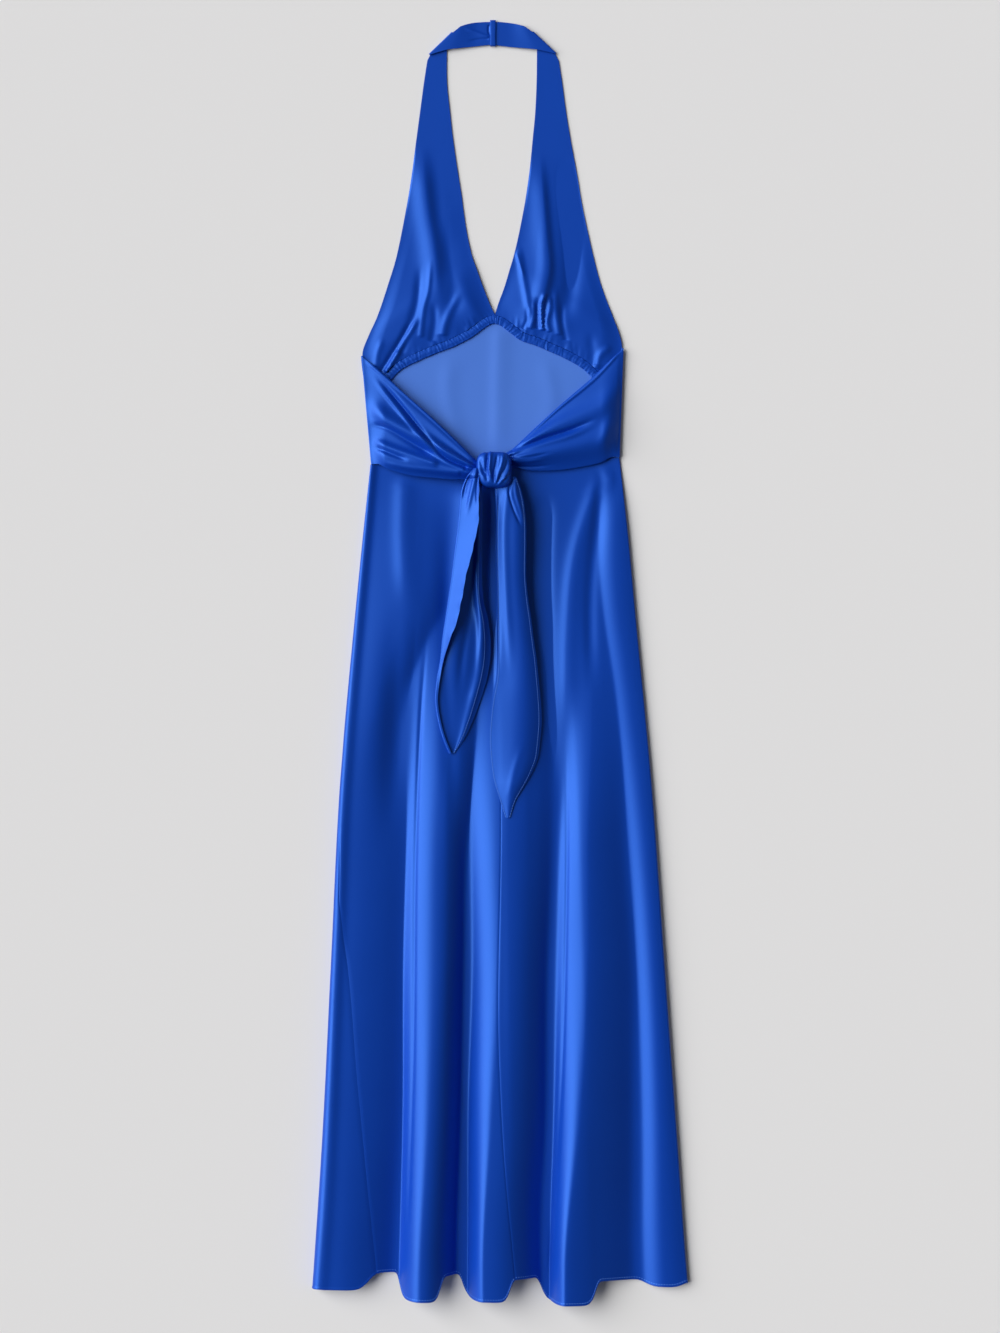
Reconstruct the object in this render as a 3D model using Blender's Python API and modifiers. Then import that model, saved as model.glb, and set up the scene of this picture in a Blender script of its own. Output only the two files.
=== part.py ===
# Satin halter dress with a tied front, laid flat and face up.
# +X is to the right, +Y runs from hem to neck, +Z is up from the surface it lies on.
# Every table is in millimetres; the meshes are in metres.

import math
from collections import namedtuple

import bmesh
import bpy
import numpy as np
from mathutils import Vector
from mathutils.bvhtree import BVHTree

MM = 0.001
CLOTH = 1.2
CASING_THICKNESS = 2.0
LOOP_WALL = 1.0
SEAM_GAP = 0.3
SEAM_TRIM = 0.2
CENTRE_SEAM_TRIM = 0.26
FLOOR_CLOTH = CLOTH / 2
SECOND_LAYER = FLOOR_CLOTH + CLOTH + SEAM_GAP
SIDE_ROLL = 2.0
SIDE_HEIGHT = FLOOR_CLOTH + 2 * SIDE_ROLL

# Where the waist seam runs, from the left side to the right side.
WAIST_LEFT_Y = 247.0
WAIST_RIGHT_Y = 256.0

# The skirt's side edges, from the waist seam down to the hem.
SkirtEdge = namedtuple("SkirtEdge", "y left right")
SKIRT_EDGES = [
    SkirtEdge(-790.0, -235.6, 236.0),
    SkirtEdge(-772.5, -234.4, 234.4),
    SkirtEdge(-602.5, -223.1, 221.9),
    SkirtEdge(-377.5, -211.9, 205.6),
    SkirtEdge(-152.5, -200.6, 189.4),
    SkirtEdge(72.5, -180.6, 168.1),
    SkirtEdge(160.0, -172.0, 160.0),
    SkirtEdge(257.0, -162.0, 149.2),
]

# The hem in the valleys between the flutes, and on the back.
HEM_LEFT_Y = -758.5
HEM_RIGHT_Y = -772.0
BACK_HEM_SHORTER = 6.0

# Each flute grows from where it starts down the skirt to its full height. Its crest runs from one
# place across the skirt at the waist to another at the hem, steep on its left and long on its right.
# Places and widths are shares of the skirt's width, starts and full are shares of its length.
Flute = namedtuple("Flute", "name waist hem left_waist left_hem right_waist right_hem starts full height")
FLUTES = [
    Flute("left", 0.030, 0.044, 0.060, 0.110, 0.080, 0.095, 0.30, 0.95, 16.0),
    Flute("second", 0.243, 0.256, 0.060, 0.040, 0.085, 0.090, 0.12, 0.75, 30.0),
    Flute("middle", 0.448, 0.431, 0.060, 0.043, 0.085, 0.100, 0.25, 0.78, 30.0),
    Flute("fourth", 0.775, 0.651, 0.060, 0.048, 0.090, 0.112, 0.05, 0.75, 29.0),
    Flute("right", 0.945, 0.909, 0.055, 0.060, 0.060, 0.100, 0.00, 0.90, 14.0),
]
FLUTE_LEFT_SQUARE = 1.8
FLUTE_RIGHT_SQUARE = 1.3

# Soft swells below the waist, over the hips.
Swell = namedtuple("Swell", "place half full gone height")
HIP_SWELLS = [Swell(0.13, 0.065, 0.12, 0.34, 5.0), Swell(0.86, 0.055, 0.12, 0.38, 5.0)]

# How far the hem falls below the valleys at each flute.
HemDip = namedtuple("HemDip", "place half drop square")
HEM_DIPS = [
    HemDip(0.047, 0.088, 21.0, 3), HemDip(0.2725, 0.058, 30.0, 4), HemDip(0.454, 0.066, 27.5, 4),
    HemDip(0.6775, 0.075, 29.5, 4), HemDip(0.9415, 0.056, 7.0, 2),
]
EDGE_PUFF = SIDE_HEIGHT - SECOND_LAYER
EDGE_PUFF_HALF = 0.018

# Seam tracks: the place across the front (below 0 is on the rolled left edge) at each share of the length.
SeamPoint = namedtuple("SeamPoint", "down place")
LEFT_SEAM = [
    SeamPoint(0.0, -0.5), SeamPoint(0.35, -0.5), SeamPoint(0.50, -0.03), SeamPoint(0.58, 0.02),
    SeamPoint(0.75, 0.075), SeamPoint(1.0, 0.152),
]
CENTRE_SEAM = [
    SeamPoint(0.0, 0.50), SeamPoint(0.44, 0.511), SeamPoint(0.70, 0.494), SeamPoint(0.80, 0.501),
    SeamPoint(1.0, 0.533),
]
RIGHT_SEAM = 1.5

# The bodice's side edges, from the waist seam up to the top of the side seam.
BODICE_EDGES = [
    SkirtEdge(238.0, -162.6, 149.8),
    SkirtEdge(253.0, -162.0, 149.2),
    SkirtEdge(278.0, -163.1, 149.0),
    SkirtEdge(303.0, -164.8, 148.2),
    SkirtEdge(328.0, -168.0, 148.6),
    SkirtEdge(353.0, -171.2, 150.0),
    SkirtEdge(378.0, -174.2, 152.4),
    SkirtEdge(396.0, -174.6, 154.6),
]
BACK_TOP_LEFT_Y = 381.0
BACK_TOP_RIGHT_Y = 390.0
BACK_TOP_RISE = 48.0
BACK_TOP_POWER = 1.7

# A strip is a row of pairs of points. On a cup they are its outer and inner edge, from the
# underbust up to the fold of the strap; on a band its lower and upper edge, from the side in.
Pair = namedtuple("Pair", "ax ay bx by")
LEFT_CUP = [
    Pair(-166.6, 349.3, -12.8, 433.1),
    Pair(-170.6, 372.0, -17.5, 444.4),
    Pair(-172.2, 388.0, -23.8, 464.4),
    Pair(-164.8, 408.1, -31.3, 490.6),
    Pair(-153.1, 434.4, -36.3, 509.4),
    Pair(-140.6, 471.9, -42.5, 539.4),
    Pair(-129.4, 509.4, -46.9, 569.4),
    Pair(-118.1, 565.6, -48.8, 584.4),
    Pair(-111.3, 605.6, -53.8, 615.6),
    Pair(-105.6, 650.0, -59.4, 654.4),
    Pair(-100.6, 687.5, -63.1, 687.5),
    Pair(-95.6, 725.0, -66.9, 725.0),
    Pair(-91.5, 751.9, -67.1, 765.6),
]
LEFT_STRAP_FOLD = Pair(-89.6, 760.6, -61.2, 788.0)
LEFT_NECK = [
    Pair(-66.0, 765.6, -50.0, 794.3),
    Pair(-52.0, 767.2, -42.0, 797.0),
    Pair(-38.0, 768.8, -33.0, 799.0),
    Pair(-24.0, 770.4, -23.0, 799.9),
    Pair(-9.85, 771.9, -9.85, 800.3),
]
RIGHT_CUP = [
    Pair(146.0, 351.6, -0.9, 432.5),
    Pair(149.8, 374.0, 2.5, 446.9),
    Pair(151.8, 392.0, 8.1, 466.9),
    Pair(148.5, 410.0, 13.4, 491.3),
    Pair(139.4, 434.4, 17.5, 510.6),
    Pair(125.6, 471.9, 23.8, 539.4),
    Pair(115.6, 509.4, 29.4, 568.1),
    Pair(103.1, 565.6, 32.3, 585.6),
    Pair(96.3, 605.6, 36.5, 615.6),
    Pair(88.1, 650.0, 40.3, 654.4),
    Pair(81.9, 687.5, 43.4, 687.5),
    Pair(76.9, 725.0, 45.1, 725.0),
    Pair(72.8, 751.9, 45.6, 765.6),
]
RIGHT_STRAP_FOLD = Pair(69.8, 762.0, 41.5, 788.5)
RIGHT_NECK = [
    Pair(46.0, 765.5, 31.0, 793.9),
    Pair(33.0, 766.9, 23.5, 796.3),
    Pair(19.0, 768.2, 15.0, 798.2),
    Pair(4.0, 769.8, 2.5, 799.8),
    Pair(-9.15, 771.9, -9.15, 800.3),
]
STRAP_FOLD_RADIUS = 1.5
NECK_MIDDLE_HEIGHT = LOOP_WALL + SEAM_GAP + CLOTH / 2

# Soft ridges of a cup, fanning from the gathers. Places are shares from outer to inner edge.
CupFold = namedtuple("CupFold", "foot crown half ends height")
LEFT_CUP_FOLDS = [
    CupFold(0.86, 0.66, 0.08, 0.72, 6.0),
    CupFold(0.65, 0.72, 0.06, 0.60, -4.0),
    CupFold(0.44, 0.50, 0.06, 0.50, 4.5),
    CupFold(0.29, 0.43, 0.05, 0.32, -2.5),
    CupFold(0.15, 0.37, 0.05, 0.27, 5.0),
]
RIGHT_CUP_FOLDS = [
    CupFold(0.73, 0.97, 0.05, 0.36, 3.0),
    CupFold(0.64, 0.85, 0.07, 0.70, 5.5),
    CupFold(0.46, 0.26, 0.08, 0.66, -4.0),
    CupFold(0.56, 0.60, 0.05, 0.20, 3.5),
    CupFold(0.26, 0.34, 0.09, 0.40, 4.0),
    CupFold(0.10, 0.16, 0.05, 0.16, 2.5),
]
CUP_PUFF = 5.0
# Shares up a cup: where its puff has gone, where it stops lying on the back panel, and how far
# its rows follow the casing; and the share of its width over which the folds calm down to its edges.
CUP_PUFF_GONE = 0.62
CUP_ON_BACK = 0.42
CUP_FOLLOWS_CASING = 0.385
CUP_EDGE = 0.2

# The middle of the elastic casing under each cup, from the centre out to the side seam.
Point = namedtuple("Point", "x y")
LEFT_CASING = [
    Point(-7.05, 429.0), Point(-16.3, 426.2), Point(-25.6, 420.0), Point(-39.4, 410.0),
    Point(-60.6, 399.1), Point(-81.3, 391.3), Point(-100.1, 383.3), Point(-118.8, 374.6),
    Point(-130.6, 366.9), Point(-140.3, 356.6), Point(-153.0, 346.6), Point(-165.6, 343.6),
]
RIGHT_CASING = [
    Point(-6.75, 429.0), Point(3.1, 425.1), Point(17.4, 414.4), Point(28.1, 406.9),
    Point(46.1, 400.8), Point(63.1, 393.4), Point(80.6, 385.6), Point(98.1, 376.3),
    Point(109.4, 368.1), Point(118.8, 359.0), Point(131.0, 350.0), Point(144.6, 346.0),
]
CASING_HALF = 5.3

# The two bands that wrap from the side seams to the knot.
LEFT_BAND = [
    Pair(-162.0, 247.3, -174.3, 382.8),
    Pair(-151.5, 247.4, -158.0, 369.6),
    Pair(-139.0, 241.0, -139.0, 353.2),
    Pair(-114.0, 233.8, -120.3, 335.3),
    Pair(-86.0, 230.4, -86.0, 305.2),
    Pair(-60.0, 228.3, -57.1, 277.9),
    Pair(-38.0, 228.5, -36.5, 257.2),
    Pair(-20.0, 232.0, -22.0, 244.0),
]
RIGHT_BAND = [
    Pair(149.2, 256.3, 154.2, 392.5),
    Pair(138.5, 256.4, 140.0, 380.0),
    Pair(122.6, 248.8, 118.0, 358.5),
    Pair(91.0, 242.4, 92.0, 336.0),
    Pair(67.0, 239.8, 70.0, 316.9),
    Pair(36.0, 239.8, 44.0, 292.9),
    Pair(16.5, 244.5, 16.0, 266.8),
    Pair(0.0, 248.0, 0.0, 258.0),
]
# Ridges of a band: places are shares from its lower to its upper edge, at the side and at the knot.
BandFold = namedtuple("BandFold", "side knot half height")
LEFT_BAND_FOLDS = [
    BandFold(0.97, 0.90, 0.09, 3.0),
    BandFold(0.80, 0.62, 0.07, -3.0),
    BandFold(0.60, 0.46, 0.08, 4.5),
    BandFold(0.40, 0.33, 0.06, -3.0),
    BandFold(0.16, 0.18, 0.12, 4.5),
]
RIGHT_BAND_FOLDS = [
    BandFold(0.95, 0.88, 0.10, 2.5),
    BandFold(0.62, 0.70, 0.07, -3.0),
    BandFold(0.44, 0.52, 0.10, 5.0),
    BandFold(0.20, 0.24, 0.12, 4.0),
]
BAND_KNOT_HEIGHT = 14.0
BAND_BILLOW = 4.0

# The knot: a rounded lump of wrapped cloth.
KNOT_CENTRE = (-8.0, 239.0, 18.0)
KNOT_HALF = (22.0, 22.5, 14.0)
KNOT_SQUARE = 2.6
KNOT_CREASES = [(-0.55, 1.6), (-0.05, 1.4), (0.5, 1.6)]

# The tails: left and right edge at each distance up from the hem end, and where the folded-over
# flap ends on the left tail.
TailRow = namedtuple("TailRow", "y left right flap")
LEFT_TAIL = [
    TailRow(-113.1, -64.6, -57.6, 2.2),
    TailRow(-103.1, -69.0, -50.5, 2.4),
    TailRow(-96.9, -71.5, -46.5, 2.4),
    TailRow(-71.9, -78.5, -34.4, 2.4),
    TailRow(-46.9, -81.9, -25.0, 2.5),
    TailRow(-21.9, -80.0, -17.5, 3.0),
    TailRow(3.1, -75.6, -13.1, 3.5),
    TailRow(28.1, -73.1, -12.5, 9.0),
    TailRow(53.1, -69.4, -15.6, 14.5),
    TailRow(78.1, -65.6, -21.3, 16.2),
    TailRow(103.1, -61.9, -23.1, 17.0),
    TailRow(128.1, -58.8, -23.1, 20.0),
    TailRow(153.1, -55.6, -23.1, 23.0),
    TailRow(178.1, -52.5, -22.5, 24.0),
    TailRow(203.1, -50.4, -22.5, 22.0),
    TailRow(218.1, -48.0, -23.0, 20.0),
    TailRow(230.0, -42.5, -23.0, 15.0),
    TailRow(241.0, -33.5, -20.0, 9.0),
]
RIGHT_TAIL = [
    TailRow(-193.1, 6.5, 11.5, 0),
    TailRow(-171.9, -0.6, 18.8, 0),
    TailRow(-146.9, -9.4, 33.8, 0),
    TailRow(-121.9, -13.8, 45.6, 0),
    TailRow(-96.9, -15.6, 49.4, 0),
    TailRow(-71.9, -14.4, 51.3, 0),
    TailRow(-46.9, -11.3, 50.0, 0),
    TailRow(-21.9, -6.0, 47.5, 0),
    TailRow(3.1, -4.4, 45.0, 0),
    TailRow(28.1, -4.4, 41.3, 0),
    TailRow(53.1, -5.0, 38.1, 0),
    TailRow(78.1, -5.0, 34.4, 0),
    TailRow(103.1, -5.0, 31.9, 0),
    TailRow(153.1, -5.6, 31.9, 0),
    TailRow(178.1, -5.6, 31.3, 0),
    TailRow(203.1, -6.3, 28.1, 0),
    TailRow(215.6, -6.9, 25.0, 0),
    TailRow(230.6, -5.0, 19.4, 0),
]
TAIL_FOLD_RADIUS = 1.6
TAIL_ARCH = 4.0
TAIL_RISE_FROM_Y = 195.0

# The fabric loop that joins the strap ends behind the neck.
LOOP_X = -9.5
LOOP_Y = 786.1
LOOP_HALF_LENGTH = 16.5
LOOP_WIDTH = 6.7

# How finely each piece is meshed: columns across and rows along.
SKIRT_ROWS = 18
HEM_CROWDING = 1.35
FRONT_LEFT_COLUMNS = 24
FRONT_RIGHT_COLUMNS = 28
BACK_LEFT_COLUMNS = 9
BACK_RIGHT_COLUMNS = 3
FRONT_LINE_POINTS = 240
LEFT_ROLL_POINTS = 160
RIGHT_ROLL_POINTS = 40
BACK_FLAT_SHARES = (0.05, 0.25, 0.5, 0.75, 0.95)
BODICE_FLAT_SHARES = (0.05, 0.2, 0.35, 0.5, 0.65, 0.8, 0.95)
BODICE_ROWS = 7
CUP_COLUMNS = 20
CUP_ROWS = 20
FOLD_ROWS = 4
NECK_ROWS = 5
BAND_COLUMNS = 18
BAND_ROWS = 14
ROLL_ROWS = 3
TAIL_ROWS = 18
BEND_WEIGHT = 20.0


def smooth_step(share):
    share = min(1.0, max(0.0, share))
    return share * share * (3 - 2 * share)


def mix(a, b, share):
    return a + (b - a) * share


def column(table, name):
    return [getattr(row, name) for row in table]


def curve_through(places, values, place):
    """Value at place on a smooth curve through the given points, whose places rise."""
    places, values = np.asarray(places, float), np.asarray(values, float)
    slopes = np.gradient(values, places)
    place = min(places[-1], max(places[0], place))
    after = min(len(places) - 1, max(1, int(np.searchsorted(places, place))))
    span = places[after] - places[after - 1]
    t = (place - places[after - 1]) / span
    return float(
        (2 * t**3 - 3 * t**2 + 1) * values[after - 1]
        + (t**3 - 2 * t**2 + t) * span * slopes[after - 1]
        + (3 * t**2 - 2 * t**3) * values[after]
        + (t**3 - t**2) * span * slopes[after]
    )


def pair_at(table, place):
    """The two points of a strip at a place counted in rows of its table."""
    places = list(range(len(table)))
    values = [curve_through(places, column(table, name), place) for name in Pair._fields]
    return np.array(values[:2]), np.array(values[2:])


def tangents(points):
    """Unit tangents along the first axis, each from the parabola through three neighbours."""
    steps = np.diff(points, axis=0)
    lengths = np.linalg.norm(steps, axis=-1, keepdims=True)
    chords = steps / lengths
    inner = (chords[:-1] * lengths[1:] + chords[1:] * lengths[:-1]) / (lengths[:-1] + lengths[1:])
    ends = 2 * chords[:1] - inner[:1], 2 * chords[-1:] - inner[-1:]
    found = np.concatenate([ends[0], inner, ends[1]])
    return found / np.linalg.norm(found, axis=-1, keepdims=True)


def normals_of(rows):
    down = tangents(rows)
    across = np.swapaxes(tangents(np.swapaxes(rows, 0, 1)), 0, 1)
    found = np.cross(across, down)
    return found / np.linalg.norm(found, axis=-1, keepdims=True)


def even_points(points, count, trim_start=0.0, trim_end=0.0):
    """Rows of numbers spaced along a line of points, closer together where the line bends.

    The first three numbers of a row are its place; the rest are carried along with it.
    """
    points = np.asarray(points, float)
    steps = np.diff(points[:, :3], axis=0)
    lengths = np.linalg.norm(steps, axis=1)
    along = np.concatenate([[0.0], np.cumsum(lengths)])
    chords = steps / lengths[:, None]
    turns = np.linalg.norm(np.diff(chords, axis=0), axis=1)
    weight = along + BEND_WEIGHT * np.concatenate([[0.0], np.cumsum(turns), [turns.sum()]])
    first = np.interp(trim_start, along, weight)
    last = np.interp(along[-1] - trim_end, along, weight)
    wanted = np.interp(np.linspace(first, last, count), weight, along)
    return np.stack([np.interp(wanted, along, values) for values in points.T], axis=1)


def satin(name, colour, roughness):
    material = bpy.data.materials.new(name)
    material.use_nodes = True
    shader = material.node_tree.nodes["Principled BSDF"]
    shader.inputs["Base Color"].default_value = (*colour, 1.0)
    shader.inputs["Roughness"].default_value = roughness
    shader.inputs["Metallic"].default_value = 0.0
    return material


def add_object(name, mesh, material, collection):
    mesh.materials.append(material)
    mesh.shade_smooth()
    piece = bpy.data.objects.new(name, mesh)
    collection.objects.link(piece)
    return piece


def cloth(name, rows, material, collection, thickness=CLOTH, normals=None):
    """A closed wall of cloth whose middle surface passes through rows of points."""
    rows = np.asarray(rows, float)
    normals = normals_of(rows) if normals is None else np.asarray(normals, float)
    last_row, last_column = rows.shape[0] - 1, rows.shape[1] - 1
    wall = bmesh.new()
    faces = []
    for side in (-0.5, 0.5):
        points = (rows + normals * thickness * side) * MM
        faces.append([[wall.verts.new(point) for point in row] for row in points])
    for verts in faces:
        for i in range(last_row):
            for j in range(last_column):
                wall.faces.new((verts[i][j], verts[i][j + 1], verts[i + 1][j + 1], verts[i + 1][j]))
    under, over = faces
    border = [(0, j) for j in range(last_column)]
    border += [(i, last_column) for i in range(last_row)]
    border += [(last_row, j) for j in range(last_column, 0, -1)]
    border += [(i, 0) for i in range(last_row, 0, -1)]
    for (i, j), (k, m) in zip(border, border[1:] + border[:1]):
        wall.faces.new((under[i][j], under[k][m], over[k][m], over[i][j]))
    bmesh.ops.recalc_face_normals(wall, faces=wall.faces)
    mesh = bpy.data.meshes.new(name)
    wall.to_mesh(mesh)
    wall.free()
    return add_object(name, mesh, material, collection)


def highest_surface(pieces):
    """A function that gives the height of the highest piece near a point."""
    bpy.context.view_layer.update()
    graph = bpy.context.evaluated_depsgraph_get()
    trees = [BVHTree.FromObject(piece, graph) for piece in pieces]
    sky = 1.0

    def height(x, y, reach_x, reach_y):
        found = 0.0
        for dx in np.linspace(-reach_x, reach_x, 5):
            for dy in np.linspace(-reach_y, reach_y, 5):
                start = Vector(((x + dx) * MM, (y + dy) * MM, sky))
                for tree in trees:
                    hit = tree.ray_cast(start, Vector((0, 0, -1)))[0]
                    if hit is not None:
                        found = max(found, hit.z / MM)
        return found

    return height


def bump(distance, half, square):
    """1 in the middle of a fold, falling to nothing past its half width."""
    return math.exp(-abs(distance / half) ** (2 * square))


def flute_rise(flute, place, down):
    growth = smooth_step((down - flute.starts) / (flute.full - flute.starts))
    distance = place - mix(flute.waist, flute.hem, smooth_step(down))
    if distance < 0:
        half, square = mix(flute.left_waist, flute.left_hem, down), mix(1.0, FLUTE_LEFT_SQUARE, down)
    else:
        half, square = mix(flute.right_waist, flute.right_hem, down), mix(1.0, FLUTE_RIGHT_SQUARE, down)
    return flute.height * growth * bump(distance, half, square)


def swell_rise(swell, place, down):
    growth = smooth_step(down / swell.full) * smooth_step((swell.gone - down) / (swell.gone - swell.full))
    return swell.height * growth * bump(place - swell.place, swell.half, 1)


def skirt_front_height(place, down):
    height = SECOND_LAYER
    height += sum(EDGE_PUFF * bump(place - edge, EDGE_PUFF_HALF, 1) for edge in (0.0, 1.0))
    height += sum(flute_rise(flute, place, down) for flute in FLUTES)
    return height + sum(swell_rise(swell, place, down) for swell in HIP_SWELLS)


def skirt_hem(place):
    hem = mix(HEM_LEFT_Y, HEM_RIGHT_Y, place)
    return hem - sum(dip.drop * bump(place - dip.place, dip.half, dip.square) for dip in HEM_DIPS)


def skirt_side(y, name):
    return curve_through(column(SKIRT_EDGES, "y"), column(SKIRT_EDGES, name), y)


def skirt_point(place, down):
    """The cloth's middle on the front (place 0 to 1) and on the rolled edges on each side of it."""
    across = min(1.0, max(0.0, place))
    top = mix(WAIST_LEFT_Y, WAIST_RIGHT_Y, across)
    y = mix(top, skirt_hem(across), down)
    left_roll = (skirt_front_height(0.0, down) - FLOOR_CLOTH) / 2
    right_roll = (skirt_front_height(1.0, down) - FLOOR_CLOTH) / 2
    left = skirt_side(y, "left") + CLOTH / 2 + left_roll
    right = skirt_side(y, "right") - CLOTH / 2 - right_roll
    if place < 0:
        turn = -place * math.pi
        x, z = left - left_roll * math.sin(turn), left_roll * (1 + math.cos(turn))
        return np.array([x, y, FLOOR_CLOTH + z])
    if place > 1:
        turn = (place - 1) * math.pi
        x, z = right + right_roll * math.sin(turn), right_roll * (1 + math.cos(turn))
        return np.array([x, y, FLOOR_CLOTH + z])
    return np.array([mix(left, right, across), y, skirt_front_height(across, down)])


def skirt_line(start, end, down, count):
    """Fine points round part of the skirt, each with the direction the cloth faces."""
    step = 0.002
    points = []
    for place in np.linspace(start, end, count):
        across = skirt_point(place + step, down) - skirt_point(place - step, down)
        upper, lower = max(0.0, down - step), min(1.0, down + step)
        along = skirt_point(place, lower) - skirt_point(place, upper)
        facing = np.cross(across, along)
        points.append(np.concatenate([skirt_point(place, down), facing / np.linalg.norm(facing)]))
    return np.array(points)


def skirt_seam(track, down):
    return curve_through(column(track, "down"), column(track, "place"), down)


def skirt_panel_line(start, end, down, columns, trims):
    return even_points(skirt_line(start, end, down, FRONT_LINE_POINTS), columns + 1, *trims)


def skirt_back_line(down):
    """The back runs from the right seam, over the surface it lies on, to the left seam."""
    right = skirt_line(RIGHT_SEAM, 2.0, down, RIGHT_ROLL_POINTS)
    right = even_points(right, BACK_RIGHT_COLUMNS + 1, trim_start=SEAM_TRIM)
    left = skirt_line(-1.0, skirt_seam(LEFT_SEAM, down), down, LEFT_ROLL_POINTS)
    left = even_points(left, BACK_LEFT_COLUMNS + 1, trim_end=SEAM_TRIM)
    flat = []
    for share in BACK_FLAT_SHARES:
        point = mix(right[-1], left[0], share)
        waist, hem = mix(WAIST_RIGHT_Y, WAIST_LEFT_Y, share), mix(HEM_RIGHT_Y, HEM_LEFT_Y, share)
        point[1] = mix(waist, hem + BACK_HEM_SHORTER, down)
        point[3:] = 0, 0, 1
        flat.append(point)
    return np.vstack([right, flat, left])


def build_skirt(satin_face, satin_back, collection):
    downs = 1 - np.linspace(1.0, 0.0, SKIRT_ROWS + 1) ** HEM_CROWDING
    trims = SEAM_TRIM, CENTRE_SEAM_TRIM
    back = [skirt_back_line(down) for down in downs]
    left, right = [], []
    for down in downs:
        sides = skirt_seam(LEFT_SEAM, down), skirt_seam(CENTRE_SEAM, down)
        left.append(skirt_panel_line(*sides, down, FRONT_LEFT_COLUMNS, trims))
        right.append(skirt_panel_line(sides[1], RIGHT_SEAM, down, FRONT_RIGHT_COLUMNS, trims[::-1]))
    pieces = []
    for name, rows, material in (
        ("skirt_back", back, satin_back),
        ("skirt_front_left", left, satin_face),
        ("skirt_front_right", right, satin_face),
    ):
        rows = np.array(rows)
        pieces.append(cloth(name, rows[..., :3], material, collection, normals=rows[..., 3:]))
    return pieces


def bodice_side(y, name):
    return curve_through(column(BODICE_EDGES, "y"), column(BODICE_EDGES, name), y)


def side_roll(side, y, turn):
    """A point on the rolled side edge of the bodice: turn 0 is on top, half a turn is on the floor."""
    outward = -1 if side == "left" else 1
    middle = bodice_side(y, side) - outward * (CLOTH / 2 + SIDE_ROLL)
    x = middle + outward * SIDE_ROLL * math.sin(turn)
    return np.array([x, y, FLOOR_CLOTH + SIDE_ROLL * (1 + math.cos(turn))])


def build_back_bodice(material, collection):
    """The back panel lies on the surface, with its sides rolled up to the side seams."""
    rows = []
    turns = np.linspace(math.pi / 2 + SEAM_TRIM / SIDE_ROLL, math.pi, ROLL_ROWS + 1)
    for up in np.linspace(0.0, 1.0, BODICE_ROWS + 1):
        left_y = mix(WAIST_LEFT_Y + SEAM_GAP, BACK_TOP_LEFT_Y, up)
        right_y = mix(WAIST_RIGHT_Y + SEAM_GAP, BACK_TOP_RIGHT_Y, up)
        left = [side_roll("left", left_y, turn) for turn in turns]
        right = [side_roll("right", right_y, turn) for turn in turns[::-1]]
        flat = []
        for share in BODICE_FLAT_SHARES:
            point = mix(left[-1], right[0], share)
            point[1] += up * BACK_TOP_RISE * (1 - abs(2 * share - 1) ** BACK_TOP_POWER)
            flat.append(point)
        rows.append(left + flat + right)
    return cloth("back_bodice", rows, material, collection)


def casing_point(path, share):
    """A point on the casing's middle line and the direction across it, towards the cup."""
    places = list(range(len(path)))
    place = share * places[-1]
    point = np.array([curve_through(places, column(path, k), place) for k in "xy"])
    ahead, behind = min(places[-1], place + 0.2), max(0, place - 0.2)
    along = np.array([
        curve_through(places, column(path, k), ahead) - curve_through(places, column(path, k), behind)
        for k in "xy"
    ])
    if share == 0:
        along[1] = 0.0
    across = np.array([-along[1], along[0]]) / np.linalg.norm(along)
    return point, across if across[1] > 0 else -across


def casing_shares():
    """Places along a casing, from the centre (0) to the side, closer together at the centre."""
    return [(k / CUP_COLUMNS) ** 1.25 for k in range(CUP_COLUMNS + 1)]


def build_casing(name, path, material, collection):
    """A flat tube of cloth over elastic, along the underbust seam."""
    rows = []
    height = CLOTH + SEAM_GAP + CASING_THICKNESS / 2
    for share in casing_shares():
        point, across = casing_point(path, share)
        rows.append([(*(point + across * CASING_HALF * k), height) for k in (-1, -0.4, 0.4, 1)])
    return cloth(name, rows, material, collection, CASING_THICKNESS)


def cup_rise(folds, up, across):
    """Height of the gathers and of the soft puff over a cup."""
    edge = smooth_step(across / CUP_EDGE) * smooth_step((1 - across) / CUP_EDGE)
    rise = CUP_PUFF * edge * smooth_step((CUP_PUFF_GONE - up) / 0.5) * smooth_step((up + 0.06) / 0.2)
    for fold in folds:
        centre = mix(fold.foot, fold.crown, min(1.0, up / fold.ends))
        fade = smooth_step((fold.ends - up) / fold.ends) * smooth_step((up + 0.05) / 0.12)
        rise += fold.height * fade * edge * bump(across - centre, fold.half, 1)
    return max(0.0, rise)


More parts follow.
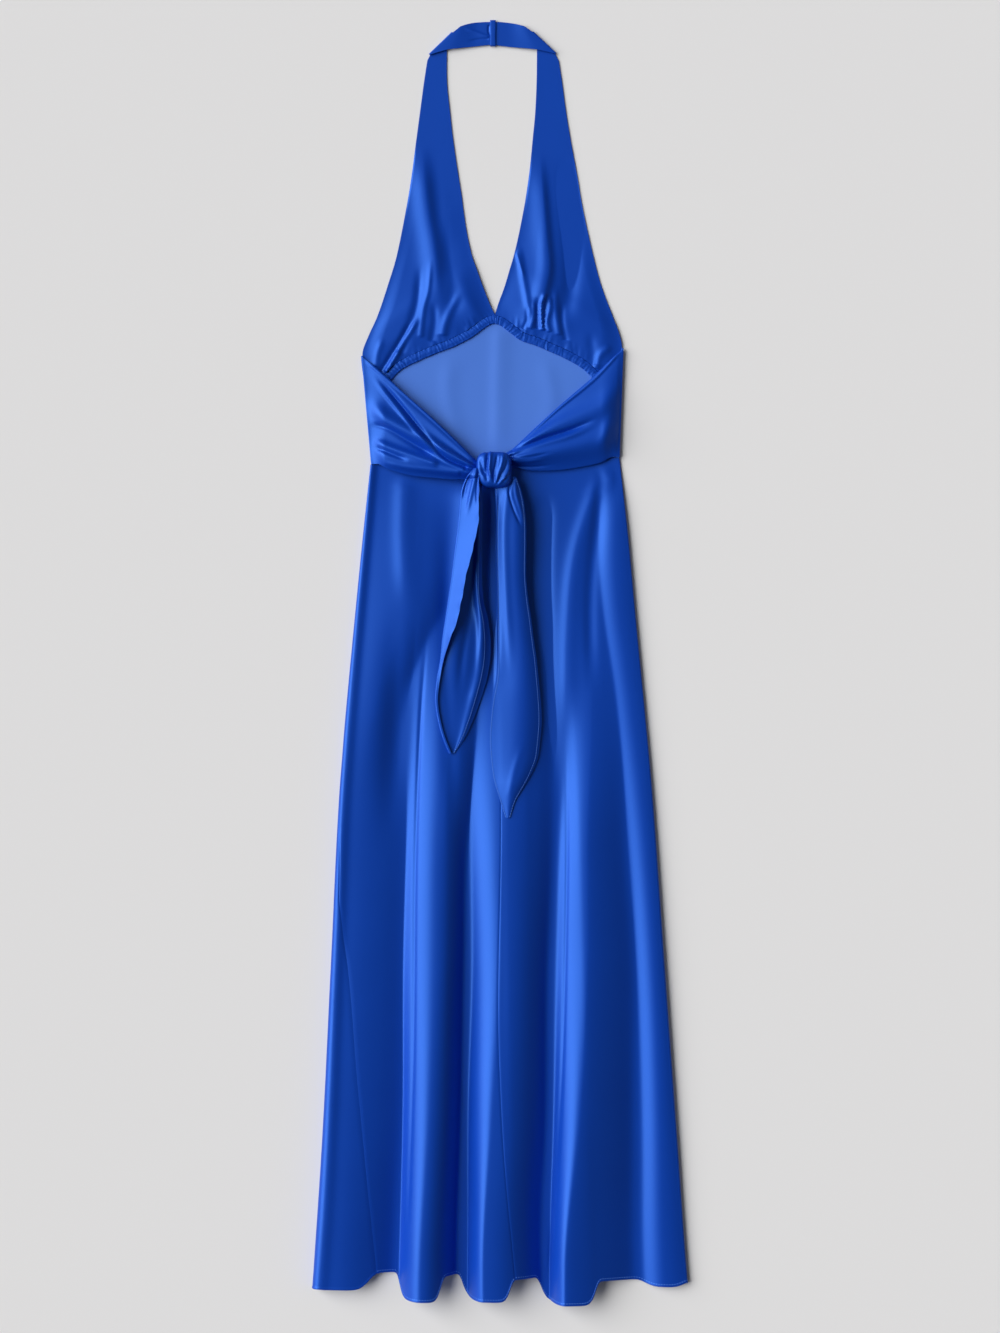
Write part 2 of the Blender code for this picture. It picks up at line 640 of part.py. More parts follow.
def build_cup(name, cup, strap_fold, neck, casing, folds, material, collection):
    """Cup, halter strap, the strap's fold and its end behind the neck, cut in one piece."""
    rows = []
    last = len(cup) - 1
    shares = [1 - share for share in casing_shares()[::-1]]
    chord = pair_at(cup, 0)
    for step in range(CUP_ROWS + 1):
        up = (step / CUP_ROWS) ** 1.25
        outer, inner = pair_at(cup, up * last)
        follow = 1 - smooth_step(up / CUP_FOLLOWS_CASING)
        layer = mix(FLOOR_CLOTH, SECOND_LAYER, smooth_step((CUP_ON_BACK - up) / 0.2))
        row = []
        for across in shares:
            point, upward = casing_point(casing, 1 - across)
            seam = point + upward * (CASING_HALF + SEAM_GAP)
            place = mix(outer, inner, across) + (seam - mix(*chord, across)) * follow
            row.append((*place, layer + cup_rise(folds, up, across)))
        rows.append(row)
    outer, inner = np.array(strap_fold[:2]), np.array(strap_fold[2:])
    along = (inner - outer) / np.linalg.norm(inner - outer)
    outward = np.array([-along[1], along[0]]) * (1 if along[0] > 0 else -1)
    for turn in np.linspace(0, math.pi, FOLD_ROWS + 1):
        shift = outward * (STRAP_FOLD_RADIUS * (math.sin(turn) - 1) - CLOTH / 2)
        height = FLOOR_CLOTH + STRAP_FOLD_RADIUS * (1 - math.cos(turn))
        rows.append([(*(mix(outer, inner, across) + shift), height) for across in shares])
    folded_height = FLOOR_CLOTH + 2 * STRAP_FOLD_RADIUS
    for share in np.linspace(0.0, 1.0, NECK_ROWS):
        lower, upper = pair_at(neck, share * (len(neck) - 1))
        height = mix(folded_height, NECK_MIDDLE_HEIGHT, smooth_step(share * 1.5))
        rows.append([(*mix(lower, upper, across), height) for across in shares])
    return cloth(name, rows, material, collection)


def band_height(folds, inward, up):
    """Height of a band's middle over the floor, from the side (inward 0) to the knot (1)."""
    height = mix(SIDE_HEIGHT, BAND_KNOT_HEIGHT, smooth_step(inward * 1.05))
    spread = smooth_step(inward / 0.25) * smooth_step((1.02 - inward) / 0.2)
    height += BAND_BILLOW * spread * math.sin(math.pi * up)
    for fold in folds:
        centre = mix(fold.side, fold.knot, smooth_step(inward))
        height += fold.height * spread * bump(up - centre, fold.half, 1)
    return height


def build_band(name, side, band, folds, under, material, collection):
    """A band from the rolled side edge to the knot, with ridges that fan out from the knot."""
    rows = []
    ups = np.linspace(0.0, 1.0, BAND_COLUMNS + 1)
    last = len(band) - 1
    lower, upper = pair_at(band, 0)
    for turn in np.linspace(math.pi / 2 - SEAM_TRIM / SIDE_ROLL, 0.0, ROLL_ROWS + 1):
        rows.append([side_roll(side, mix(lower[1], upper[1], up), turn) for up in ups])
    for inward in np.linspace(0.0, 1.0, BAND_ROWS + 1)[1:]:
        lower, upper = pair_at(band, inward * last)
        row = []
        for up in ups:
            x, y = mix(lower, upper, up)
            resting = under(x, y, 8.0, 6.0) + SEAM_GAP + CLOTH / 2
            row.append((x, y, max(resting, band_height(folds, inward, up))))
        rows.append(row)
    return cloth(name, rows, material, collection)


def knot_mesh(name, grow):
    """A squared ellipsoid with creases over the top; grow moves its skin out."""
    lump = bmesh.new()
    bmesh.ops.create_uvsphere(lump, u_segments=24, v_segments=12, radius=1.0)
    half = [size + grow for size in KNOT_HALF]
    for vert in lump.verts:
        direction = vert.co.normalized()
        reach = sum(abs(k) ** KNOT_SQUARE for k in direction) ** (-1 / KNOT_SQUARE)
        x, y, z = (k * reach for k in direction)
        dent = sum(depth * math.exp(-(((x - at) / 0.13) ** 2)) for at, depth in KNOT_CREASES)
        dent *= max(0.0, z) * (1 - 0.5 * abs(y))
        place = (x * half[0], y * half[1], z * (half[2] - dent))
        vert.co = Vector([(p + c) * MM for p, c in zip(place, KNOT_CENTRE)])
    mesh = bpy.data.meshes.new(name)
    lump.to_mesh(mesh)
    lump.free()
    return mesh


def cut_with(piece, cutter):
    cut = piece.modifiers.new("cut", "BOOLEAN")
    cut.operation = "DIFFERENCE"
    cut.solver = "EXACT"
    cut.object = cutter


def tail_height(under, x, y, y_top, reach):
    """Height of a tail's lower layer: on what lies under it, rising to the knot."""
    resting = under(x, y, 3.0, reach) + SEAM_GAP + CLOTH / 2
    rise = smooth_step((y - TAIL_RISE_FROM_Y) / (y_top - TAIL_RISE_FROM_Y))
    return max(resting, mix(resting, KNOT_CENTRE[2], rise))


def tail_stations(table):
    """Heights up a tail for its rows, closer together at both ends, each with the room to the next."""
    low, top = table[0].y, table[-1].y
    turns = np.linspace(0.0, math.pi, TAIL_ROWS + 1)
    stations = [mix(low, top, (1 - math.cos(turn)) / 2) for turn in turns]
    rooms = np.gradient(stations)
    return zip(stations, rooms)


def tail_row_at(table, y):
    return [curve_through(column(table, "y"), column(table, name), y) for name in ("left", "right", "flap")]


def build_left_tail(under, material, collection):
    """The left tail is folded over lengthwise: a flap, the fold, then the layer below."""
    rows = []
    top = LEFT_TAIL[-1].y
    for y, room in tail_stations(LEFT_TAIL):
        left, right, flap = tail_row_at(LEFT_TAIL, y)
        middle = left + TAIL_FOLD_RADIUS + CLOTH / 2
        flap_end = min(left + flap + TAIL_FOLD_RADIUS, right - 0.5)
        lowest = tail_height(under, middle, y, top, room)
        row = []
        for share in (1.0, 0.75, 0.5, 0.25):
            x = mix(middle, flap_end, share)
            row.append((x, y, tail_height(under, x, y, top, room) + 2 * TAIL_FOLD_RADIUS))
        for turn in np.linspace(0, math.pi, 5):
            x = middle - TAIL_FOLD_RADIUS * math.sin(turn)
            row.append((x, y, lowest + TAIL_FOLD_RADIUS * (1 + math.cos(turn))))
        for share in (0.2, 0.4, 0.6, 0.8, 1.0):
            x = mix(middle, right, share)
            row.append((x, y, tail_height(under, x, y, top, room)))
        rows.append(row)
    return cloth("tail_left", rows, material, collection)


def build_right_tail(under, material, collection):
    rows = []
    top = RIGHT_TAIL[-1].y
    for y, room in tail_stations(RIGHT_TAIL):
        left, right, _ = tail_row_at(RIGHT_TAIL, y)
        row = []
        for share in np.linspace(0.0, 1.0, 9):
            x = mix(left, right, share)
            arch = TAIL_ARCH * math.sin(math.pi * share) * min(1.0, (right - left) / 40)
            row.append((x, y, tail_height(under, x, y, top, room) + arch))
        rows.append(row)
    return cloth("tail_right", rows, material, collection)


def build_neck_loop(material, collection):
    """A narrow loop of cloth round both strap ends."""
    corner = NECK_MIDDLE_HEIGHT - LOOP_WALL / 2
    reach = LOOP_HALF_LENGTH - LOOP_WALL / 2 - corner
    ring = []
    for middle, start in ((reach, -math.pi / 2), (-reach, math.pi / 2)):
        for turn in np.linspace(start, start + math.pi, 5):
            y, z = LOOP_Y + middle + corner * math.cos(turn), NECK_MIDDLE_HEIGHT + corner * math.sin(turn)
            ring.append((y, z))
    loop = bmesh.new()
    sides = []
    for x in (LOOP_X - LOOP_WIDTH / 2, LOOP_X + LOOP_WIDTH / 2):
        sides.append([loop.verts.new(Vector((x, y, z)) * MM) for y, z in ring])
    for k in range(len(ring)):
        after = (k + 1) % len(ring)
        loop.faces.new((sides[0][k], sides[1][k], sides[1][after], sides[0][after]))
    bmesh.ops.recalc_face_normals(loop, faces=loop.faces)
    mesh = bpy.data.meshes.new("neck_loop")
    loop.to_mesh(mesh)
    loop.free()
    piece = add_object("neck_loop", mesh, material, collection)
    wall = piece.modifiers.new("wall", "SOLIDIFY")
    wall.thickness = LOOP_WALL * MM
    wall.offset = 0.0
    wall.use_even_offset = True
    return piece


def main():
    for old in list(bpy.data.objects):
        bpy.data.objects.remove(old)
    dress = bpy.data.collections.new("halter_dress")
    cutters = bpy.data.collections.new("cutters")
    bpy.context.scene.collection.children.link(dress)
    bpy.context.scene.collection.children.link(cutters)

    face = satin("satin_face", (0.012, 0.085, 0.50), 0.35)
    back = satin("satin_back", (0.050, 0.160, 0.62), 0.60)

    flat_pieces = build_skirt(face, back, dress)
    flat_pieces += [
        build_back_bodice(back, dress),
        build_casing("casing_left", LEFT_CASING, face, dress),
        build_casing("casing_right", RIGHT_CASING, face, dress),
    ]
    for side, tables in (
        ("left", (LEFT_CUP, LEFT_STRAP_FOLD, LEFT_NECK, LEFT_CASING, LEFT_CUP_FOLDS)),
        ("right", (RIGHT_CUP, RIGHT_STRAP_FOLD, RIGHT_NECK, RIGHT_CASING, RIGHT_CUP_FOLDS)),
    ):
        flat_pieces.append(build_cup("cup_" + side, *tables, face, dress))
    build_neck_loop(face, dress)

    add_object("knot", knot_mesh("knot", 0.0), face, dress)
    clearance = bpy.data.objects.new("knot_clearance", knot_mesh("knot_clearance", SEAM_GAP))
    cutters.objects.link(clearance)
    clearance.hide_render = True
    clearance.display_type = "WIRE"

    under = highest_surface(flat_pieces)
    bands = [
        build_band("band_left", "left", LEFT_BAND, LEFT_BAND_FOLDS, under, face, dress),
        build_band("band_right", "right", RIGHT_BAND, RIGHT_BAND_FOLDS, under, face, dress),
    ]
    under = highest_surface(flat_pieces[:3] + bands)
    tails = [build_left_tail(under, face, dress), build_right_tail(under, face, dress)]
    for piece in bands + tails:
        cut_with(piece, clearance)


main()
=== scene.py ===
import math
import random

import bpy
import numpy as np
from mathutils.bvhtree import BVHTree
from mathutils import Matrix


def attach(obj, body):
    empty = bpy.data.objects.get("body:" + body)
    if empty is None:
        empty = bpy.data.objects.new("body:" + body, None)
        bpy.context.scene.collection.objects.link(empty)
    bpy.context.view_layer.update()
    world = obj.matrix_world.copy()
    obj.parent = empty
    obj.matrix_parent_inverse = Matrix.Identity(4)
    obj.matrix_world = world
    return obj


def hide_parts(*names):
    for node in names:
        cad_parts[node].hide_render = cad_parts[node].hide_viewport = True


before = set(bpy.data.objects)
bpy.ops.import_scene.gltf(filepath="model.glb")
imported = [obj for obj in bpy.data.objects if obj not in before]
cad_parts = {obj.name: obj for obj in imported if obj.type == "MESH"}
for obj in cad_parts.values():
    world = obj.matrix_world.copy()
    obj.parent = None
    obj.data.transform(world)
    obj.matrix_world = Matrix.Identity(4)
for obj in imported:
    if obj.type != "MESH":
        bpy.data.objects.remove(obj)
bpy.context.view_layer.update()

# A long satin halter dress, laid flat and face up on a pale floor.
# Sizes are in millimetres and become metres when a mesh is written.
mm = 0.001
cloth = dict(wall=0.6, solidWall=1.2, seamGap=0.3)
floorCloth = cloth["solidWall"] / 2
secondLayer = floorCloth + cloth["solidWall"] + cloth["seamGap"]


def smoothStep(share):
    share = np.clip(share, 0.0, 1.0)
    return share * share * (3 - 2 * share)


def mix(a, b, share):
    return a + (b - a) * share


def bump(distance, half, square=1):
    return np.exp(-(np.abs(distance / half) ** (2 * square)))


# 1 along the middle of 0 to 1, falling to 0 at both ends over the given width
def betweenEnds(share, wide):
    return smoothStep(share / wide) * smoothStep((1 - share) / wide)


# a smooth curve through a table's values
def curveThrough(places, values, place):
    places, values = np.asarray(places, float), np.asarray(values, float)
    slopes = np.gradient(values, places)
    place = np.clip(place, places[0], places[-1])
    after = np.clip(np.searchsorted(places, place), 1, len(places) - 1)
    span = places[after] - places[after - 1]
    t = (place - places[after - 1]) / span
    return (
        (2 * t**3 - 3 * t**2 + 1) * values[after - 1]
        + (t**3 - 2 * t**2 + t) * span * slopes[after - 1]
        + (3 * t**2 - 2 * t**3) * values[after]
        + (t**3 - t**2) * span * slopes[after]
    )


# one column of a table, at a place in its first column
def valueAt(table, place, column=1):
    table = np.asarray(table, float)
    return curveThrough(table[:, 0], table[:, column], place)


# a table's rows, where place counts rows
def rowsThrough(table, place):
    table = np.asarray(table, float)
    return np.stack([curveThrough(np.arange(len(table)), col, place) for col in table.T], axis=-1)


# points as one array, where x, y and z may be single values or arrays
def pointsAt(x, y, z):
    return np.stack(np.broadcast_arrays(x, y, z), axis=-1)


# distances along the points of an array's first axis
def distances(points):
    steps = np.linalg.norm(np.diff(points, axis=0), axis=-1)
    return np.concatenate([np.zeros((1,) + steps.shape[1:]), np.cumsum(steps, axis=0)])


# rows of a table as dictionaries
def named(columns, rows):
    return [dict(zip(columns.split(), row)) for row in rows]


# A crease is a ridge along a path down the picture, or a trough where high is negative. It has a half
# width on the path's left and right, and it fades in and out over shares of its length.
creaseColumns = "high left right fadeIn fadeOut path"


def softRidges(x, y, creases):
    x, y = np.broadcast_arrays(x, y)
    rise = np.zeros(x.shape)
    for crease in named(creaseColumns, creases):
        path = np.array(crease["path"], float)
        path = rowsThrough(path, np.linspace(0, len(path) - 1, 8 * len(path)))
        reach = 3 * max(crease["left"], crease["right"])
        low, high = path.min(axis=0) - reach, path.max(axis=0) + reach
        near = (x > low[0]) & (x < high[0]) & (y > low[1]) & (y < high[1])
        if not near.any():
            continue
        px, py = x[near], y[near]
        steps = np.diff(path, axis=0)
        lengths = np.hypot(steps[:, 0], steps[:, 1])
        begun = np.concatenate([[0.0], np.cumsum(lengths)])
        nearest = np.full(px.shape, 1e9)
        share, side = np.zeros(px.shape), np.zeros(px.shape)
        for k in range(len(steps)):
            sx, sy = steps[k]
            t = np.clip(((px - path[k, 0]) * sx + (py - path[k, 1]) * sy) / lengths[k] ** 2, 0, 1)
            dx, dy = px - path[k, 0] - t * sx, py - path[k, 1] - t * sy
            gap = np.hypot(dx, dy)
            closer = gap < nearest
            nearest = np.where(closer, gap, nearest)
            share = np.where(closer, (begun[k] + t * lengths[k]) / begun[-1], share)
            side = np.where(closer, sx * dy - sy * dx, side)
        half = np.where(side > 0, crease["right"], crease["left"])
        strength = smoothStep((share + 1e-6) / (crease["fadeIn"] + 1e-6))
        strength *= smoothStep((1 - share + 1e-6) / (crease["fadeOut"] + 1e-6))
        rise[near] += crease["high"] * strength * bump(nearest, half)
    return rise


# points along a line, spaced evenly and closer together where it bends
def evenPoints(points, count, bend, trimStart=0.0, trimEnd=0.0):
    steps = np.diff(points, axis=0)
    lengths = np.maximum(np.linalg.norm(steps, axis=1), 1e-9)
    along = np.concatenate([[0.0], np.cumsum(lengths)])
    chords = steps / lengths[:, None]
    turns = np.linalg.norm(np.diff(chords, axis=0), axis=1)
    weight = along + bend * np.concatenate([[0.0], np.cumsum(turns), [turns.sum()]])
    first = np.interp(trimStart, along, weight)
    last = np.interp(along[-1] - trimEnd, along, weight)
    wanted = np.interp(np.linspace(first, last, count), weight, along)
    return np.stack([np.interp(wanted, along, values) for values in points.T], axis=1)


def deselect():
    for thing in bpy.context.selected_objects:
        thing.select_set(False)


def only(piece):
    deselect()
    piece.select_set(True)
    bpy.context.view_layer.objects.active = piece


# unit normals of a grid of points whose rows run up the picture
def facing(rows):
    down = np.gradient(rows, axis=0)
    across = np.gradient(rows, axis=1)
    found = np.cross(across, down)
    return found / np.maximum(np.linalg.norm(found, axis=-1, keepdims=True), 1e-9)


# a grid primitive whose points are moved to rows; the first row is nearest the hem
def layGrid(name, rows):
    rows = np.asarray(rows, float)
    deselect()
    bpy.ops.mesh.primitive_grid_add(
        x_subdivisions=rows.shape[1] - 1, y_subdivisions=rows.shape[0] - 1, size=1, calc_uvs=True)
    piece = bpy.context.object
    piece.name = piece.data.name = name
    piece.data.vertices.foreach_set("co", (rows * mm).ravel())
    # the cloth's own map: real millimetres along the weave
    across = distances(rows.swapaxes(0, 1)).mean(axis=1)
    along = distances(rows).mean(axis=1)
    spots = np.stack(np.meshgrid(across, along), axis=-1).reshape(-1, 2)
    loops = np.empty(len(piece.data.loops), int)
    piece.data.loops.foreach_get("vertex_index", loops)
    piece.data.uv_layers[0].name = "weave"
    piece.data.uv_layers[0].data.foreach_set("uv", spots[loops].ravel())
    piece.data.update()
    return piece


# gives a sheet its wall, its two sides and smooth shading, hangs it on the root and hides the CAD node it
# stands for
def finishCloth(piece, node, inside=None, wall=cloth["wall"], inward=False):
    piece.data.materials.append(satinFace)
    piece.data.materials.append(inside or satinFace)
    only(piece)
    thick = piece.modifiers.new("wall", "SOLIDIFY")
    thick.thickness = wall * mm
    thick.offset = -1.0 if inward else 0.0
    thick.material_offset = 1
    thick.material_offset_rim = 0
    bpy.ops.object.modifier_apply(modifier=thick.name)
    bpy.ops.object.shade_smooth_by_angle(angle=math.radians(50))
    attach(piece, "root")
    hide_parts(node)


# the top of what lies below, as a smooth map over a rectangle
def heightMap(names, xs, ys, reach, blur):
    bpy.context.view_layer.update()
    graph = bpy.context.evaluated_depsgraph_get()
    trees = [BVHTree.FromObject(bpy.data.objects[name + "_satin"], graph) for name in names]
    step = 2.0
    gx, gy = np.arange(xs[0], xs[1] + step, step), np.arange(ys[0], ys[1] + step, step)
    tops = np.zeros((len(gy), len(gx)))
    for j, y in enumerate(gy):
        for i, x in enumerate(gx):
            for tree in trees:
                hit = tree.ray_cast((x * mm, y * mm, 1.0), (0, 0, -1))[0]
                if hit is not None:
                    tops[j, i] = max(tops[j, i], hit.z / mm)
    cells = int(round(reach / step))
    wide = np.pad(tops, cells, mode="edge")
    tops = np.max([wide[j:j + len(gy), i:i + len(gx)]
                   for j in range(2 * cells + 1) for i in range(2 * cells + 1)], axis=0)
    for _ in range(blur):
        wide = np.pad(tops, 1, mode="edge")
        tops = (wide[:-2, 1:-1] + wide[2:, 1:-1] + wide[1:-1, :-2] + wide[1:-1, 2:] + 4 * tops) / 8

    def top(x, y):
        u = np.clip((np.asarray(x) - gx[0]) / step, 0, len(gx) - 1.001)
        v = np.clip((np.asarray(y) - gy[0]) / step, 0, len(gy) - 1.001)
        i, j = u.astype(int), v.astype(int)
        fu, fv = u - i, v - j
        return ((tops[j, i] * (1 - fu) + tops[j, i + 1] * fu) * (1 - fv)
                + (tops[j + 1, i] * (1 - fu) + tops[j + 1, i + 1] * fu) * fv)
    return top


# sRGB hex to linear
def hexColour(text, alpha=1.0):
    channels = [int(text[k:k + 2], 16) / 255 for k in (1, 3, 5)]
    return tuple(c / 12.92 if c <= 0.04045 else ((c + 0.055) / 1.055) ** 2.4 for c in channels) + (alpha,)


def setInputs(node, values):
    for name, value in values.items():
        node.inputs[name].default_value = value


def addObject(name, data):
    thing = bpy.data.objects.new(name, data)
    bpy.context.scene.collection.objects.link(thing)
    return thing


# a node with its settings; links are (input name, another node's output)
def addNode(tree, kind, links=(), **settings):
    node = tree.nodes.new(kind)
    for key, value in settings.items():
        if key in node.inputs.keys() and not hasattr(node, key):
            node.inputs[key].default_value = value
        else:
            setattr(node, key, value)
    for name, output in links:
        tree.links.new(output, node.inputs[name])
    return node


# Woven polyester satin: long filament floats on the face give broad tinted highlights,
# the wrong side is matte and paler.
satinLooks = dict(
    face=dict(name="woven polyester satin, face", colour="#063cab", shade="#0538a2", tint="#5c9cff",
              roughness=0.44, gloss=1, bump=0.03),
    back=dict(name="woven polyester satin, wrong side", colour="#4879d9", shade="#4373d2", tint="#c4daff",
              roughness=0.65, gloss=0.4, bump=0.08),
    thread=dict(name="spun polyester thread", colour="#5c90ea", shade="#4f84e0", tint="#a8c6ff",
                roughness=0.55, gloss=0.5, bump=0),
)


def weaveSatin(look):
    material = bpy.data.materials.new(look["name"])
    material.use_nodes = True
    tree = material.node_tree
    shader = tree.nodes["Principled BSDF"]
    setInputs(shader, {"Roughness": look["roughness"], "IOR": 1.7, "Specular IOR Level": look["gloss"],
                       "Specular Tint": hexColour(look["tint"])})
    weave = addNode(tree, "ShaderNodeUVMap", uv_map="weave")
    # dye takes a little unevenly over hand-sized patches, and slubs run along the warp every few millimetres
    patches = addNode(tree, "ShaderNodeTexNoise", [("Vector", weave.outputs["UV"])], Scale=0.012, Detail=2.0)
    stretch = addNode(tree, "ShaderNodeMapping", [("Vector", weave.outputs["UV"])])
    setInputs(stretch, {"Scale": (0.9, 0.035, 1.0)})
    slubs = addNode(tree, "ShaderNodeTexNoise", [("Vector", stretch.outputs["Vector"])],
                    Scale=1.0, Detail=3.0)
    blend = addNode(tree, "ShaderNodeMix", data_type="RGBA")
    setInputs(blend, {6: hexColour(look["colour"]), 7: hexColour(look["shade"])})
    tree.links.new(patches.outputs["Fac"], blend.inputs[0])
    tree.links.new(blend.outputs[2], shader.inputs["Base Color"])
    if look["bump"]:
        # filaments are 0.1 mm apart, drawn 0.8 mm apart so that they show at all
        floats = addNode(tree, "ShaderNodeTexWave", [("Vector", weave.outputs["UV"])],
                         wave_type="BANDS", bands_direction="DIAGONAL", Scale=0.39, Distortion=1.5)
        relief = addNode(tree, "ShaderNodeMix", [(2, floats.outputs["Fac"]), (3, slubs.outputs["Fac"])],
                         data_type="FLOAT")
        setInputs(relief, {0: 0.6})
        raised = addNode(tree, "ShaderNodeBump", [("Height", relief.outputs[0])],
                         Strength=look["bump"], Distance=0.0003)
        tree.links.new(raised.outputs["Normal"], shader.inputs["Normal"])
    return material


satinFace = weaveSatin(satinLooks["face"])
satinBack = weaveSatin(satinLooks["back"])
thread = weaveSatin(satinLooks["thread"])
print("satin and thread are ready")

# Where the camera stands and how the studio is lit.
studio = dict(
    cameraHigh=3200, frameWide=1250, cameraPlace=(-0.625, -5), floorColour="#e6e5e5",
    # each softbox is far off, so that the light is even; it leans to the picture's left and top, in degrees
    lights=dict(
        key=dict(left=54, top=12, spread=60, power=4.45),
        fill=dict(left=-40, top=-5, spread=80, power=0.12)),
    skyColour="#eef1f6", sky=0.07,
)


def setStudio():
    deselect()
    bpy.ops.mesh.primitive_plane_add(size=12, location=(0, 0, -0.0005))
    ground = bpy.context.object
    ground.name = "studio_floor"
    paint = bpy.data.materials.new("matt pale paper")
    paint.use_nodes = True
    setInputs(paint.node_tree.nodes["Principled BSDF"], {
        "Base Color": hexColour(studio["floorColour"]), "Roughness": 0.9, "Specular IOR Level": 0.1})
    ground.data.materials.append(paint)
    world = bpy.data.worlds.new("studio")
    world.use_nodes = True
    setInputs(world.node_tree.nodes["Background"], {
        "Color": hexColour(studio["skyColour"]), "Strength": studio["sky"]})
    bpy.context.scene.world = world
    bpy.context.scene.view_settings.view_transform = "Standard"
    for name, box in studio["lights"].items():
        light = bpy.data.lights.new(name + "_softbox", "SUN")
        light.angle = math.radians(box["spread"])
        light.energy = box["power"]
        lamp = addObject(name + "_softbox", light)
        lamp.location = (-1.5 if box["left"] > 0 else 1.5, 0.5, 2.0)
        lamp.rotation_euler = (-math.radians(box["top"]), -math.radians(box["left"]), 0.0)
    lens = bpy.data.cameras.new("camera")
    lens.sensor_fit = "HORIZONTAL"
    lens.sensor_width = 36.0
    lens.lens = lens.sensor_width * studio["cameraHigh"] / studio["frameWide"]
    lens.clip_end = 20.0
    view = addObject("camera", lens)
    view.location = [size * mm for size in (*studio["cameraPlace"], studio["cameraHigh"])]
    bpy.context.scene.camera = view


setStudio()
print("studio is ready")

# The skirt: two fronts and a back, with flutes that grow towards the hem.
skirt = dict(
    edges=[(-790, -235.6, 236), (-772.5, -234.4, 234.4), (-602.5, -223.1, 221.9), (-377.5, -211.9, 205.6),
           (-152.5, -200.6, 189.4), (72.5, -180.6, 168.1), (160, -172, 160), (257, -162, 149.2)],
    waist=(247, 256), hem=(-758.5, -772), length=1010, backShorter=6,
    # a flute is a dome: where it starts on its left, its crest and where it ends on its right, in shares
    # of the skirt's width, and its height, at places down the skirt in shares of the length
    fluteColumns="down foot crest end height",
    flutes=[
        dict(fall=2, rows=[
            (0, -0.07, 0.127, 0.273, 0), (0.13, -0.08, 0.186, 0.335, 7), (0.293, -0.08, 0.077, 0.176, 9),
            (0.476, -0.11, 0.035, 0.196, 9), (0.598, -0.11, 0.034, 0.196, 11), (0.78, -0.11, 0.03, 0.2, 14),
            (0.94, -0.11, 0.034, 0.19, 17), (1, -0.1, 0.042, 0.19, 17)]),
        dict(fall=2.2, rows=[
            (0.16, 0.2, 0.322, 0.45, 0), (0.293, 0.216, 0.334, 0.446, 8), (0.476, 0.209, 0.309, 0.396, 17),
            (0.598, 0.205, 0.306, 0.388, 21), (0.78, 0.211, 0.292, 0.378, 27),
            (0.94, 0.214, 0.276, 0.368, 31), (1, 0.216, 0.276, 0.368, 31)]),
        dict(fall=2.6, rows=[
            (0.16, 0.4, 0.525, 0.714, 0), (0.293, 0.408, 0.52, 0.69, 5.5), (0.476, 0.416, 0.51, 0.668, 16),
            (0.598, 0.418, 0.507, 0.645, 20), (0.78, 0.404, 0.474, 0.626, 26),
            (0.94, 0.404, 0.448, 0.602, 30), (1, 0.404, 0.448, 0.602, 30)]),
        dict(fall=1.4, rows=[
            (0, 0.76, 0.89, 0.98, 0), (0.13, 0.735, 0.85, 0.93, 2.5), (0.293, 0.738, 0.825, 0.925, 4.5),
            (0.476, 0.698, 0.785, 0.905, 14), (0.598, 0.678, 0.772, 0.91, 18),
            (0.78, 0.654, 0.726, 0.885, 25), (0.94, 0.632, 0.675, 0.862, 29), (1, 0.628, 0.668, 0.856, 29)]),
        dict(fall=2, rows=[
            (0, 0.945, 1, 1.06, 0), (0.06, 0.915, 0.972, 1.04, 3.5), (0.13, 0.885, 0.95, 1.035, 5),
            (0.293, 0.906, 0.962, 1.035, 4.5), (0.476, 0.925, 0.977, 1.035, 5.5),
            (0.598, 0.928, 0.978, 1.035, 6.5), (0.78, 0.915, 0.965, 1.03, 7.5),
            (0.94, 0.895, 0.948, 1.03, 8), (1, 0.89, 0.943, 1.03, 8)]),
    ],
    valleySoft=1.5, fluteStarts=4, fluteJoin=4,
    # how far the hem falls at each flute
    dipColumns="place half drop square",
    dips=[(0.047, 0.088, 21, 3), (0.2725, 0.058, 30, 4), (0.454, 0.066, 27.5, 4), (0.6775, 0.075, 29.5, 4),
          (0.9415, 0.056, 7, 2)],
    edgePuff=2.5, edgePuffHalf=0.018,
    leftSeam=[(0, -0.5), (0.35, -0.5), (0.5, -0.03), (0.58, 0.02), (0.75, 0.075), (1, 0.152)],
    centreSeam=[(0, 0.5), (0.44, 0.511), (0.7, 0.494), (0.8, 0.501), (1, 0.533)],
    rightSeam=1.5, rows=150, hemRows=9, hemDeep=6, hemFold=3.4, hemProud=0.35, columns=(130, 150), bend=12,
    cuts=dict(skirt_front_left=dict(flat=(0.27, 1.06), area=0.205, held="laid"),
              skirt_front_right=dict(flat=(0.34, 1.06), area=0.217, held="laid"),
              skirt_back=dict(flat=(0.58, 1.04), area=0.435, held="laid")),
)
